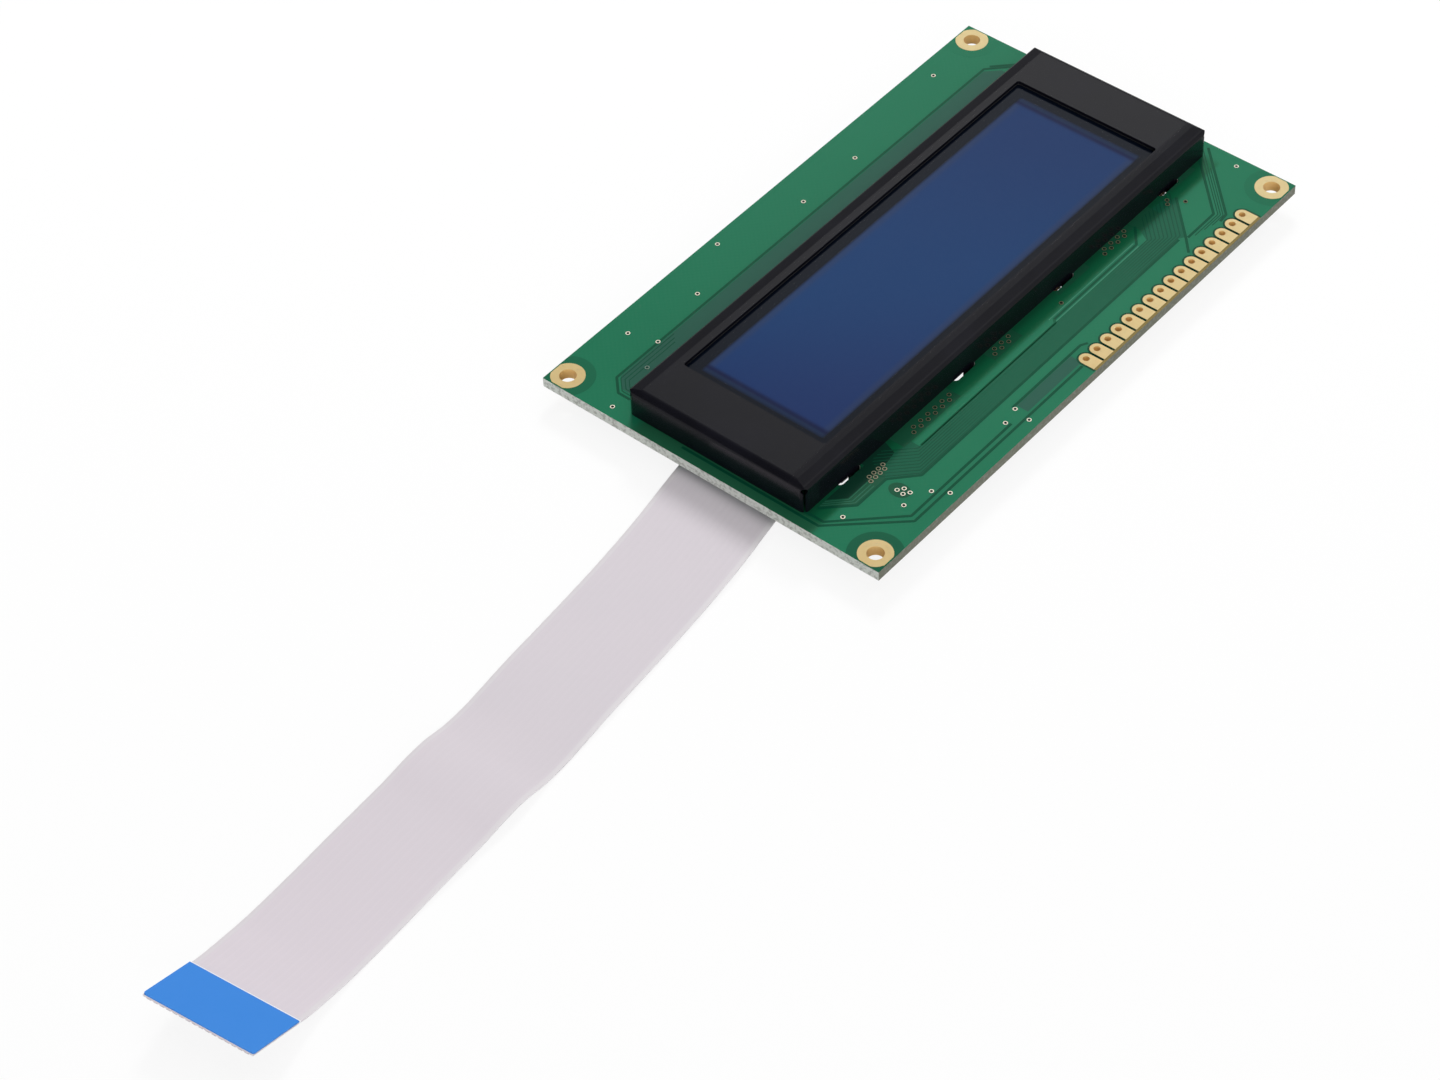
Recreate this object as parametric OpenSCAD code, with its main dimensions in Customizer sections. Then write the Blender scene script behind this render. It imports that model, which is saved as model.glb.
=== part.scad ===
// Graphic display module: a bezel-framed glass panel on a green circuit board,
// with a flat ribbon cable leaving from a socket behind one short end.
// Millimetres. X runs along the board, Y across it, Z up out of the display face.
// The origin lies under the middle of the board, on the surface that the module rests on.

/* [Circuit board] */
// Length of the board
board_l = 98; // [97:0.5:120]
// Width of the board
board_w = 60; // [50:0.5:80]
// Thickness of the board
board_t = 1.6; // [0.8:0.1:2.4]
// Thickness of the metal on the lands and in the plated holes
plating_t = 0.05; // [0.03:0.01:0.1]

/* [Mounting holes] */
// Diameter of each mounting hole inside its plating
mount_hole_d = 2.5; // [2:0.1:3.2]
// Distance of each mounting hole from the two nearest edges
mount_inset = 2.5; // [2.2:0.1:4]
// Diameter of the bare land around each mounting hole
mount_land_d = 5; // [4:0.1:6]
// Strip left free between a mounting land and the board's edge
mount_land_margin = 0.2; // [0.1:0.05:0.5]

/* [Header pads] */
// Number of pads in the header row
pin_count = 16; // [4:1:16]
// Distance from pad to pad
pin_pitch = 2.54; // [2:0.01:2.54]
// Distance of the last pad from the board's short edge
pin_end = 10; // [8:0.5:14]
// Distance of the row of holes from the board's long edge
pin_inset = 2.5; // [2:0.1:4]
// Diameter of each header hole inside its plating
pin_hole_d = 1; // [0.7:0.05:1.2]
// Width of each pad
pin_pad_w = 2.1; // [1.6:0.05:2.2]
// Strip left free between the pads' square ends and the board's edge
pin_pad_margin = 0.4; // [0.2:0.05:1]

/* [Vias] */
// Diameter of a via's ring
via_land_d = 0.7; // [0.5:0.05:0.8]
// Diameter of a via's hole inside its plating
via_hole_d = 0.3; // [0.2:0.05:0.35]

/* [Bezel] */
// Length over the short flanges
bezel_l = 93.6; // [90:0.2:96]
// Width over the long flanges
bezel_w = 31.6; // [30.8:0.2:32]
// Height of the face above the board
bezel_h = 4.9; // [4.4:0.1:6]
// Thickness of the sheet
bezel_t = 0.5; // [0.3:0.05:0.7]
// Outer radius of the bend along the short sides
bend_short_r = 1.1; // [0.9:0.1:1.5]
// Outer radius of the bend along the long sides
bend_long_r = 0.8; // [0.8:0.1:1.2]
// Width of the sloping shoulder along the long sides, with the bend
shoulder_w = 2; // [1.6:0.1:2.2]
// Slope of that shoulder
shoulder_slope = 8; // [4:1:12]
// Rounding of the folded corners, seen from above
bezel_corner_r = 1; // [0.8:0.1:1.5]
// Diameter of the relief hole at the top of each corner joint
relief_d = 1; // [0.6:0.1:1.4]
// Width of the open joint between two flanges
relief_gap = 0.3; // [0.2:0.05:0.5]
// Length of the window
window_l = 77; // [70:0.2:77]
// Width of the window
window_w = 25.2; // [22:0.2:25.2]
// Rounding of the window's corners
window_r = 0.4; // [0.2:0.1:1]
// Shift of the display from the middle of the board, away from the header
display_dy = 0.2; // [-0.5:0.1:0.5]

/* [Bezel tabs] */
// Distance of the inner tab slots from the middle of the board
slot_inner_x = 11.6; // [9:0.1:14]
// Distance of the outer tab slots from the middle of the board
slot_outer_x = 37.3; // [34:0.1:40]
// Length of each slot
slot_l = 4.8; // [4.4:0.1:5]
// Width of each slot
slot_w = 1.4; // [1.2:0.1:1.6]
// Width of each tab
tab_w = 1.8; // [1.6:0.1:2.2]
// Reach of the tabs below the board, which is the module's standing height
tab_drop = 2.6; // [2.4:0.1:3]
// Turn of each tab's end, which locks the bezel to the board
tab_twist = 35; // [20:1:45]
// Length over which a tab turns
tab_twist_l = 1.2; // [0.8:0.1:1.6]
// Bevel at the corners of each tab's tip
tab_bevel = 0.4; // [0.2:0.05:0.6]

/* [Display panel] */
// Length of the front glass
glass_l = 86; // [83:0.5:88]
// Width of the front glass
glass_w = 28.6; // [28:0.1:28.8]
// Thickness of each of the two glass plates
glass_t = 0.7; // [0.5:0.05:1]
// Ledge of the front glass that carries the contacts
ledge_w = 2.6; // [2.4:0.1:2.7]
// Step of the rear glass inside the front glass on the other three sides
rear_step = 0.4; // [0.2:0.1:1]
// Thickness of the polariser film
film_t = 0.2; // [0.15:0.01:0.3]
// Lap of the film and of the gasket beyond the window
film_lap = 0.9; // [0.6:0.1:1]
// Thickness of the gasket between the film and the bezel
gasket_t = 0.2; // [0.15:0.05:0.4]
// Length of the pixel area
pixel_l = 71.3; // [66:0.1:73]
// Width of the pixel area
pixel_w = 21.4; // [18:0.1:21.6]
// Thickness of the pixel layer
pixel_t = 0.05; // [0.03:0.01:0.1]
// Depth of the hollow etched into the rear glass
hollow_depth = 0.35; // [0.3:0.01:0.4]
// Margin of the hollow around the pixel area
hollow_margin = 0.6; // [0.4:0.1:0.7]
// Thickness of the drying sheet in the hollow
dryer_t = 0.15; // [0.1:0.01:0.2]
// Margin of the drying sheet inside the hollow
dryer_margin = 4; // [2:0.5:8]
// Margin of the foam cushion inside the rear glass
cushion_margin = 1; // [0.6:0.1:3]

/* [Panel tail] */
// Length of the tail along the panel's edge
tail_l = 62; // [40:1:70]
// Thickness of the tail
tail_t = 0.15; // [0.1:0.01:0.2]
// Bond of the tail on the glass ledge
tail_bond = 1; // [0.9:0.1:1.2]
// Foot of the tail on the board
tail_foot = 1.4; // [1:0.1:1.6]

/* [Ribbon cable] */
// Number of conductors
conductor_count = 16; // [10:1:16]
// Distance from conductor to conductor
conductor_pitch = 1; // [0.8:0.05:1]
// Thickness of the ribbon
ribbon_t = 0.3; // [0.2:0.02:0.3]
// Thickness of the blue stiffener at each end
stiffener_t = 0.2; // [0.15:0.01:0.25]
// Length of the stiffener
stiffener_l = 9; // [6:0.1:9]
// Rounding of the stiffener's outer corners
stiffener_r = 0.4; // [0.2:0.1:1]
// Bare length of each conductor at the ribbon's ends
finger_l = 4; // [3:0.1:4.2]
// Width of each bare conductor
finger_w = 0.65; // [0.5:0.01:0.7]
// Thickness of each bare conductor
finger_t = 0.05; // [0.03:0.01:0.08]

/* [Ribbon socket] */
// Distance of the socket's mouth from the board's short edge
socket_inset = 13; // [12:0.5:13]
// Place of the socket across the board
socket_y = -2.2; // [-2.4:0.1:-2]
// Depth of the housing along the ribbon
socket_d = 5.5; // [5.2:0.1:7]
// Width of the housing at each side of the ribbon's slot
socket_cheek = 2; // [1.5:0.1:3]
// Height of the housing
socket_h = 2; // [1.9:0.05:2.2]
// Depth of the ribbon's slot
socket_slot_d = 4.6; // [4.5:0.05:4.8]
// Drop of the ribbon's middle below the board
socket_slot_drop = 1.1; // [1:0.05:1.2]
// Play of the ribbon in its slot
socket_play = 0.05; // [0.03:0.01:0.1]
// Bevel that leads the ribbon into the mouth
socket_lead_in = 0.3; // [0.15:0.05:0.3]
// Bevel along the housing's lower edges
socket_bevel = 0.35; // [0.2:0.05:0.4]
// Width of each contact spring
spring_w = 0.35; // [0.25:0.01:0.4]
// Thickness of the contact springs
spring_t = 0.25; // [0.15:0.01:0.25]

/* [Chip covers] */
// Diameter of each resin cover
cover_d = 15; // [10:0.5:16]
// Height of each resin cover
cover_h = 1.5; // [1:0.1:2]
// Distance between the two covers
cover_pitch = 24; // [18:0.5:26]

/* [Power converter] */
// Length and width of the square inductor
coil_w = 5; // [4:0.1:6]
// Height of the inductor
coil_h = 2; // [1.5:0.1:2.2]
// Cut corner of the inductor
coil_chamfer = 1; // [0.5:0.1:1.5]
// Diameter of the inductor's round core
core_d = 3.8; // [2.5:0.1:3.8]
// Length of the converter's body
ic_l = 2.9; // [2.5:0.1:3.2]
// Width of the converter's body
ic_w = 1.6; // [1.4:0.1:2]
// Height of the converter's body
ic_h = 1.1; // [0.9:0.1:1.4]
// Length of the diode's body
diode_l = 2.7; // [2.4:0.1:3.2]
// Width of the diode's body
diode_w = 1.6; // [1.2:0.1:2]
// Height of the diode's body
diode_h = 1.1; // [0.9:0.1:1.4]
// Length of the reservoir capacitor
tank_l = 3.5; // [3:0.1:4]
// Width of the reservoir capacitor
tank_w = 2.8; // [2:0.1:3]
// Height of the reservoir capacitor
tank_h = 1.9; // [1.4:0.1:2.1]

/* [Chip parts] */
// Length, width and height of a ceramic capacitor
cap_size = [2, 1.25, 0.9]; // [0.4:0.05:3]
// Length, width and height of a chip resistor
res_size = [1.6, 0.8, 0.45]; // [0.3:0.05:2]
// Length of the metal end of a chip part
chip_end_l = 0.4; // [0.2:0.05:0.45]
// Step by which a metal end stands proud of its chip part's body
chip_end_lip = 0.03; // [0.02:0.01:0.06]

/* [Hidden] */
$fn = 48;

// Levels
board_z = tab_drop;
board_top = board_z + board_t;
film_top = board_top + bezel_h - bezel_t - gasket_t;
front_z = film_top - film_t - glass_t;
rear_z = front_z - glass_t;
slot_z = board_z - socket_slot_drop;

// Places on the board
mount_x = board_l / 2 - mount_inset;
mount_y = board_w / 2 - mount_inset;
pin_last_x = board_l / 2 - pin_end;
pin_y = -board_w / 2 + pin_inset;
tab_y = bezel_w / 2 - bezel_t / 2;
flange_h = bezel_h - (bend_long_r + (shoulder_w - bend_long_r) * sin(shoulder_slope)) / cos(shoulder_slope);
slot_xs = [-slot_outer_x, -slot_inner_x, slot_inner_x, slot_outer_x];
tab_shift = (slot_l - tab_w) / 2 - 0.15;
mouth_x = -board_l / 2 + socket_inset;
cover_x = 4;
cover_y = 2;

// Sizes that follow from others
ribbon_w = (conductor_count + 1) * conductor_pitch;
socket_slot_w = ribbon_w + 0.2;
socket_w = socket_slot_w + 2 * socket_cheek;
hollow_l = pixel_l + 2 * hollow_margin;
hollow_w = pixel_w + 2 * hollow_margin;
rear_l = glass_l - 2 * rear_step;
rear_w = glass_w - ledge_w - rear_step;
rear_y = (ledge_w - rear_step) / 2;
tail_r = (front_z - board_top) / 2;
tail_in_y = -glass_w / 2 + ledge_w - 0.2;
tail_y = tail_in_y - tail_bond;
lead_t = 0.15;
mould_draft = 0.92;
through = 1;

// Single vias by a short edge: end, distance from that edge, place across the board
end_vias = [[-1, 1.7, 18.5], [-1, 5, -19.9], [1, 1.8, -20.8]];
// Single vias by a long edge: place along the board, side, distance from that edge
edge_vias = [[-34.8, 1, 3.5], [-12.7, 1, 1.5], [-22.5, 1, 6], [2.1, 1, 5.5], [14.3, 1, 5.4], [36.3, 1, 3],
    [-37.2, -1, 5], [-32.8, -1, 3.7], [-31.5, -1, 1.5], [-16.2, -1, 3.7], [-13.2, -1, 4.3], [-13.7, -1, 1.5],
    [-35.5, -1, 7.5], [-34.7, -1, 6.9], [-35.6, -1, 6.4], [-34.8, -1, 5.8]];
// Single vias by a long flange of the bezel: place along the board, side, distance from that flange
flange_vias = [[-33.5, 1, 6], [-38.4, 1, 3.8], [7.9, -1, 2.4], [36.3, -1, 3.8],
    [34.2, -1, 2.1], [34.9, -1, 1.5]];
// Zigzag rows of vias by the lower flange: first via, distance from that flange, count, step along X
via_rows = [[-36.4, 3.1, 8, 0.5], [-25.4, 1.9, 12, 0.8], [-6.2, 1.3, 6, 0.8], [20, 1.2, 8, 0.8]];
via_zigzag = 0.35;

// Lay of the ribbon's middle, from its seat in the socket to its free end; the second point is the mouth
lay = [[-31.5, -2.2, 1.5], [-36, -2.2, 1.5], [-40.6, -2.2, 1.5], [-44, -2.42, 1.5], [-47.5, -2.8, 1.43],
    [-51, -3.29, 1.2], [-57, -4.18, 0.78], [-63, -4.97, 0.53], [-69, -5.66, 0.4], [-75, -6.28, 0.38],
    [-82, -6.98, 0.44], [-89, -7.68, 0.55], [-94, -8.16, 0.35], [-98, -8.5, 0.2], [-102, -8.79, 0.46],
    [-106, -9.02, 1.22], [-110, -9.23, 1.28], [-114, -9.41, 0.86], [-119, -9.61, 0.66], [-125, -9.86, 0.44],
    [-131, -10.14, 0.2], [-137, -10.48, 0.2], [-141, -10.75, 0.43], [-144.5, -11.03, 0.95],
    [-147.5, -11.29, 1.5], [-149.5, -11.49, 2.05], [-158.65, -12.58, 5.64]];
lay_mouth = lay[1];
route = [for (p = lay)
    [p[0] - lay_mouth[0] + mouth_x, p[1] - lay_mouth[1] + socket_y, p[2] / lay_mouth[2] * slot_z]];

// Parts behind the board: place, and turn where it isn't zero
power_inset = 14.5;
power_x = board_l / 2 - power_inset;
coil_place = [power_x, 4];
ic_place = [power_x, -3.5];
diode_place = [power_x + 7, 0];
tank_place = [power_x + 5.5, -7.5];
cover_end_x = cover_x - cover_pitch / 2 - cover_d / 2;
cover_cap_gap = 4.5;
cover_cap_reach = 10;
// Two capacitors behind each slot of the power end
slot_cap_gap = 0.15;
slot_cap_step = cap_size[0] + 0.25;
slot_cap_y = display_dy - tab_y + slot_w / 2 + slot_cap_gap + cap_size[1] / 2;
cap_places = [[power_x - 5.5, -8, 0], [power_x - 1.5, -8, 0], [power_x + 7.5, 9, 90],
    [power_x + 7.5, 5.5, 90], [power_x - 4.5, 10, 0],
    for (y = [-8, 8]) [cover_end_x - cover_cap_gap, y, 90],
    for (s = [-1, 1]) [cover_x, cover_y + s * cover_cap_reach, 0],
    for (x = [slot_inner_x, slot_outer_x], k = [0, 1]) [x + k * slot_cap_step, slot_cap_y, 0]];
// Row of resistors above the header, two by the converter and two by the socket
header_res_run = 33;
header_res_step = 3;
header_res_gap = 6.5;
header_res_x = pin_last_x - header_res_run;
socket_res_run = 11;
res_places = [for (i = [0 : 5]) [header_res_x + header_res_step * i, pin_y + header_res_gap, 90],
    for (y = [-4.5, -2]) [power_x - 4.5, y, 0],
    for (k = [0, 1]) [mouth_x + socket_res_run + 2 * k, 0, 90]];

// Flat rounded rectangle
module rounded_rect(l, w, r) {
    square([l - 2 * r, w], center = true);
    square([l, w - 2 * r], center = true);
    for (sx = [-1, 1], sy = [-1, 1])
        translate([sx * (l / 2 - r), sy * (w / 2 - r)]) circle(r);
}

// Flat slot with round ends
module slot_shape(l, w) {
    square([l - w, w], center = true);
    for (s = [-1, 1]) translate([s * (l - w) / 2, 0]) circle(d = w);
}

// Section of a folded channel, open below, reaching dip under its foot
module channel_section(w, h, r, dip) {
    translate([-w / 2, -dip]) square([w, h - r + dip]);
    translate([-w / 2 + r, 0]) square([w - 2 * r, h]);
    for (s = [-1, 1]) translate([s * (w / 2 - r), h - r]) circle(r);
}

// The same with sloping shoulders before its bends
module shouldered_section(w, h, r, shoulder, dip) {
    bend_y = w / 2 - r;
    bend_z = h - (r + (shoulder - r) * sin(shoulder_slope)) / cos(shoulder_slope);
    top_y = bend_y + r * sin(shoulder_slope);
    top_z = bend_z + r * cos(shoulder_slope);
    polygon([[-w / 2, -dip], [w / 2, -dip], [w / 2, bend_z], [top_y, top_z], [w / 2 - shoulder, h],
        [shoulder - w / 2, h], [-top_y, top_z], [-w / 2, bend_z]]);
    for (s = [-1, 1]) translate([s * bend_y, bend_z]) circle(r);
}

module at_mounts() {
    for (sx = [-1, 1], sy = [-1, 1]) translate([sx * mount_x, sy * mount_y]) children();
}

module at_pins() {
    for (i = [0 : pin_count - 1]) translate([pin_last_x - i * pin_pitch, pin_y]) children();
}

module at_vias() {
    for (v = end_vias) translate([v[0] * (board_l / 2 - v[1]), v[2]]) children();
    for (v = edge_vias) translate([v[0], v[1] * (board_w / 2 - v[2])]) children();
    for (v = flange_vias) translate([v[0], display_dy + v[1] * (bezel_w / 2 + v[2])]) children();
    for (row = via_rows, i = [0 : row[2] - 1])
        translate([row[0] + i * row[3], display_dy - bezel_w / 2 - row[1] + (i % 2) * 2 * via_zigzag])
            children();
}

module at_slots() {
    for (x = slot_xs, s = [-1, 1]) translate([x, display_dy + s * tab_y]) children();
}

// Land on both faces of the board, joined by the lining of its hole
module plated_hole(hole_d) {
    difference() {
        union() {
            translate([0, 0, board_top]) linear_extrude(plating_t) children();
            translate([0, 0, board_z - plating_t]) linear_extrude(plating_t) children();
            translate([0, 0, board_z]) cylinder(d = hole_d + 2 * plating_t, h = board_t);
        }
        translate([0, 0, board_z - through]) cylinder(d = hole_d, h = board_t + 2 * through);
    }
}

module circuit_board() {
    color("seagreen") translate([0, 0, board_z]) linear_extrude(board_t) difference() {
        square([board_l, board_w], center = true);
        at_mounts() circle(d = mount_hole_d + 2 * plating_t);
        at_pins() circle(d = pin_hole_d + 2 * plating_t);
        at_vias() circle(d = via_hole_d + 2 * plating_t);
        at_slots() slot_shape(slot_l, slot_w);
    }
}

module mounting_lands() {
    reach = 2 * (mount_inset - mount_land_margin);
    color("goldenrod") at_mounts() plated_hole(mount_hole_d) intersection() {
        circle(d = mount_land_d);
        square(reach > mount_land_d ? mount_land_d : reach, center = true);
    }
}

module header_pads() {
    outer = pin_inset - pin_pad_margin;
    color("goldenrod") at_pins() plated_hole(pin_hole_d) {
        circle(d = pin_pad_w);
        translate([-pin_pad_w / 2, -outer]) square([pin_pad_w, outer]);
    }
}

module via_plating() {
    color("goldenrod") at_vias() plated_hole(via_hole_d) circle(d = via_land_d);
}

// Outer form of the bezel, drawn in by the sheet's thickness for its inside
module bezel_form(inset, dip) {
    l = bezel_l - 2 * inset;
    w = bezel_w - 2 * inset;
    h = bezel_h - inset;
    intersection() {
        rotate([90, 0, 90]) linear_extrude(l + 2 * through, center = true)
            shouldered_section(w, h, bend_long_r - inset, shoulder_w - inset * (1 - tan(shoulder_slope / 2)), dip);
        rotate([90, 0, 0]) linear_extrude(w + 2 * through, center = true)
            channel_section(l, h, bend_short_r - inset, dip);
        translate([0, 0, -dip]) linear_extrude(h + dip + through)
            rounded_rect(l, w, bezel_corner_r - inset);
    }
}

// Open joint between two flanges, with a round relief at its top
module corner_relief() {
    reach = 3 * bezel_corner_r;
    for (sx = [-1, 1], sy = [-1, 1])
        translate([sx * (bezel_l / 2 - bezel_corner_r), sy * (bezel_w / 2 - bezel_corner_r), 0])
            rotate([0, 0, atan2(sy, sx)]) {
                translate([0, -relief_gap / 2, -through]) cube([reach, relief_gap, flange_h + through]);
                translate([0, 0, flange_h]) rotate([0, 90, 0]) cylinder(d = relief_d, h = reach);
            }
}

// Tab that hangs from a long flange through its slot and is turned below the board
module bezel_tab() {
    turned_l = board_z - tab_twist_l;
    translate([-tab_w / 2, -bezel_t / 2, board_z])
        cube([tab_w, bezel_t, board_t + flange_h / 2]);
    translate([0, 0, turned_l]) rotate([0, 0, tab_twist])
        linear_extrude(tab_twist_l, twist = tab_twist, slices = 5, segments = 4)
            square([tab_w, bezel_t], center = true);
    rotate([0, 0, tab_twist]) rotate([90, 0, 0]) linear_extrude(bezel_t, center = true) polygon([
        [-tab_w / 2, turned_l], [-tab_w / 2, tab_bevel], [tab_bevel - tab_w / 2, 0],
        [tab_w / 2 - tab_bevel, 0], [tab_w / 2, tab_bevel], [tab_w / 2, turned_l]]);
}

module bezel() {
    color([0.13, 0.13, 0.14]) {
        translate([0, display_dy, board_top]) difference() {
            bezel_form(0, 0);
            bezel_form(bezel_t, through);
            linear_extrude(bezel_h + through) rounded_rect(window_l, window_w, window_r);
            corner_relief();
        }
        at_slots() translate([tab_shift, 0, 0]) bezel_tab();
    }
}

module window_gasket() {
    color([0.05, 0.05, 0.05]) translate([0, display_dy, film_top])
        linear_extrude(gasket_t) difference() {
            square([window_l + 2 * film_lap, window_w + 2 * film_lap], center = true);
            rounded_rect(window_l, window_w, window_r);
        }
}

module polariser_film() {
    color([0.18, 0.26, 0.43]) translate([0, display_dy, film_top - film_t]) linear_extrude(film_t)
        square([window_l + 2 * film_lap, window_w + 2 * film_lap], center = true);
}

module front_glass() {
    color([0.3, 0.33, 0.38]) translate([0, display_dy, front_z]) linear_extrude(glass_t)
        square([glass_l, glass_w], center = true);
}

module pixel_layer() {
    color([0.2, 0.3, 0.55]) translate([0, display_dy, front_z - pixel_t]) linear_extrude(pixel_t)
        square([pixel_l, pixel_w], center = true);
}

// Cover glass with a shallow hollow over the pixels
module rear_glass() {
    color([0.4, 0.45, 0.48]) translate([0, display_dy, rear_z]) difference() {
        translate([0, rear_y, 0]) linear_extrude(glass_t) square([rear_l, rear_w], center = true);
        translate([0, 0, glass_t - hollow_depth]) linear_extrude(glass_t)
            square([hollow_l, hollow_w], center = true);
    }
}

module drying_sheet() {
    color([0.9, 0.9, 0.88]) translate([0, display_dy, front_z - hollow_depth]) linear_extrude(dryer_t)
        square([hollow_l - 2 * dryer_margin, hollow_w - 2 * dryer_margin], center = true);
}

module panel_cushion() {
    color([0.2, 0.2, 0.2]) translate([0, display_dy + rear_y, board_top]) linear_extrude(rear_z - board_top)
        square([rear_l - 2 * cushion_margin, rear_w - 2 * cushion_margin], center = true);
}

// Film that folds from the glass ledge down to the board
module panel_tail() {
    color([0.75, 0.5, 0.15]) translate([0, display_dy, board_top])
        rotate([90, 0, 90]) linear_extrude(tail_l, center = true) {
            difference() {
                translate([tail_y, tail_r]) circle(tail_r);
                translate([tail_y, tail_r]) circle(tail_r - tail_t);
                translate([tail_y, -through]) square(2 * (tail_r + through));
            }
            translate([tail_y, 2 * tail_r - tail_t]) square([tail_bond, tail_t]);
            translate([tail_y, 0]) square([tail_foot, tail_t]);
        }
}

// Low dome of resin over a bare chip
module resin_cover() {
    ball_r = (pow(cover_d / 2, 2) + pow(cover_h, 2)) / (2 * cover_h);
    rotate_extrude() intersection() {
        translate([0, ball_r - cover_h]) circle(ball_r, $fn = 200);
        translate([0, -cover_h]) square([cover_d / 2, cover_h]);
    }
}

module chip_covers() {
    color([0.09, 0.09, 0.09]) for (s = [-1, 1])
        translate([cover_x + s * cover_pitch / 2, cover_y, board_z]) resin_cover();
}

// Height of the ribbon's bare conductors above the springs
finger_z = slot_z - ribbon_t / 2 - finger_t;
spring_low = finger_z - 0.2 - spring_t;

module at_contacts() {
    for (i = [0 : conductor_count - 1])
        translate([0, (i - (conductor_count - 1) / 2) * conductor_pitch, 0]) children();
}

module ribbon_socket() {
    slot_low = finger_z - socket_play;
    slot_high = slot_z + ribbon_t / 2 + stiffener_t + socket_play;
    groove_w = spring_w + 0.1;
    foot = board_z - socket_h;
    color([0.9, 0.87, 0.78]) translate([mouth_x, socket_y, 0]) difference() {
        rotate([90, 0, 0]) linear_extrude(socket_w, center = true) polygon([
            [0, board_z], [0, foot + socket_bevel], [socket_bevel, foot],
            [socket_d - socket_bevel, foot], [socket_d, foot + socket_bevel], [socket_d, board_z]]);
        translate([-through, -socket_slot_w / 2, slot_low])
            cube([socket_slot_d + through, socket_slot_w, slot_high - slot_low]);
        rotate([90, 0, 0]) linear_extrude(socket_slot_w, center = true) polygon([
            [-socket_lead_in, slot_low - 2 * socket_lead_in], [socket_lead_in, slot_low],
            [socket_lead_in, slot_high], [-socket_lead_in, slot_high + 2 * socket_lead_in]]);
        at_contacts() translate([0.5, -groove_w / 2, spring_low - 0.1])
            cube([socket_d, groove_w, slot_low - spring_low + 0.2]);
    }
}

// Contact spring: soldered foot, upright behind the housing, and a beam under the ribbon
module contact_spring() {
    tip = 0.8;
    bump = 1.2;
    rise = 0.3;
    foot = 1.3;
    beam_high = spring_low + spring_t;
    rotate([90, 0, 0]) linear_extrude(spring_w, center = true) polygon([
        [tip, spring_low], [socket_d + spring_t, spring_low],
        [socket_d + spring_t, board_z - spring_t], [socket_d + foot, board_z - spring_t],
        [socket_d + foot, board_z], [socket_d, board_z], [socket_d, beam_high],
        [bump + 3 * rise, beam_high], [bump + 2 * rise, finger_z], [bump + rise, finger_z],
        [bump, beam_high], [tip, beam_high]]);
}

module socket_springs() {
    color([0.85, 0.8, 0.65]) translate([mouth_x, socket_y, 0]) at_contacts() contact_spring();
}

// Solder anchor at each cheek of the socket
module socket_anchors() {
    anchor_t = 0.2;
    anchor_l = 2.6;
    anchor_h = 1.2;
    anchor_foot = 1.2;
    color([0.8, 0.8, 0.82]) translate([mouth_x + (socket_d - anchor_l) / 2, socket_y, board_z])
        for (s = [0, 1]) mirror([0, s, 0]) translate([0, socket_w / 2, 0]) {
            translate([0, 0, -anchor_h]) cube([anchor_l, anchor_t, anchor_h]);
            translate([0, 0, -anchor_t]) cube([anchor_l, anchor_foot, anchor_t]);
        }
}

// Sweep of the ribbon's flat section along its route
last = len(route) - 1;
function unit(v) = v / norm(v);
function leg(i) = unit(route[i + 1] - route[i]);
function tangent(i) = i == 0 ? leg(0) : i == last ? leg(last - 1) : unit(leg(i - 1) + leg(i));
function across(i) = unit(cross([0, 0, 1], tangent(i)));
function rising(i) = cross(tangent(i), across(i)) / (tangent(i) * leg(max(i - 1, 0)));
function ring(i) = [for (c = [[-1, -1], [1, -1], [1, 1], [-1, 1]])
    route[i] + c[0] * ribbon_w / 2 * across(i) + c[1] * ribbon_t / 2 * rising(i)];
function side(i, j) = [4 * i + j, 4 * i + 4 + j, 4 * i + 4 + (j + 1) % 4, 4 * i + (j + 1) % 4];

module ribbon_cable() {
    color([0.84, 0.82, 0.84]) polyhedron(
        points = [for (i = [0 : last]) each ring(i)],
        faces = [[0, 1, 2, 3], [for (j = [3 : -1 : 0]) 4 * last + j],
            for (i = [0 : last - 1], j = [0 : 3]) let (f = side(i, j))
                each [[f[0], f[1], f[2]], [f[0], f[2], f[3]]]]);
}

// Both ends of the ribbon, with X pointing out of the ribbon's end
module at_ribbon_ends() {
    end_leg = leg(last - 1);
    translate(route[0]) children();
    translate(route[last]) rotate([0, -asin(end_leg[2]), atan2(end_leg[1], end_leg[0])]) children();
}

module ribbon_stiffeners() {
    color([0.26, 0.54, 0.88]) at_ribbon_ends() translate([0, 0, ribbon_t / 2]) linear_extrude(stiffener_t) {
        translate([-stiffener_l, -ribbon_w / 2]) square([stiffener_l - stiffener_r, ribbon_w]);
        translate([-stiffener_l / 2, stiffener_r - ribbon_w / 2])
            square([stiffener_l / 2, ribbon_w - 2 * stiffener_r]);
        for (s = [-1, 1]) translate([-stiffener_r, s * (ribbon_w / 2 - stiffener_r)]) circle(stiffener_r);
    }
}

module ribbon_fingers() {
    color([0.8, 0.8, 0.82]) at_ribbon_ends() at_contacts()
        translate([-finger_l, -finger_w / 2, -ribbon_t / 2 - finger_t]) cube([finger_l, finger_w, finger_t]);
}

// Part soldered behind the board: X and Y as seen from the front, Z rising from the board's back
module behind(place, turn = 0) {
    translate([place[0], place[1], board_z]) rotate([180, 0, turn]) children();
}

// Block with its foot on the board
module body_block(size) {
    translate([-size[0] / 2, -size[1] / 2, 0]) cube(size);
}

// Moulded body whose sides draw in from the parting line at half its height
module moulded_body(size) {
    half_h = size[2] / 2;
    translate([0, 0, half_h]) for (s = [0, 1]) mirror([0, 0, s])
        linear_extrude(half_h, scale = mould_draft) square([size[0], size[1]], center = true);
}

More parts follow.
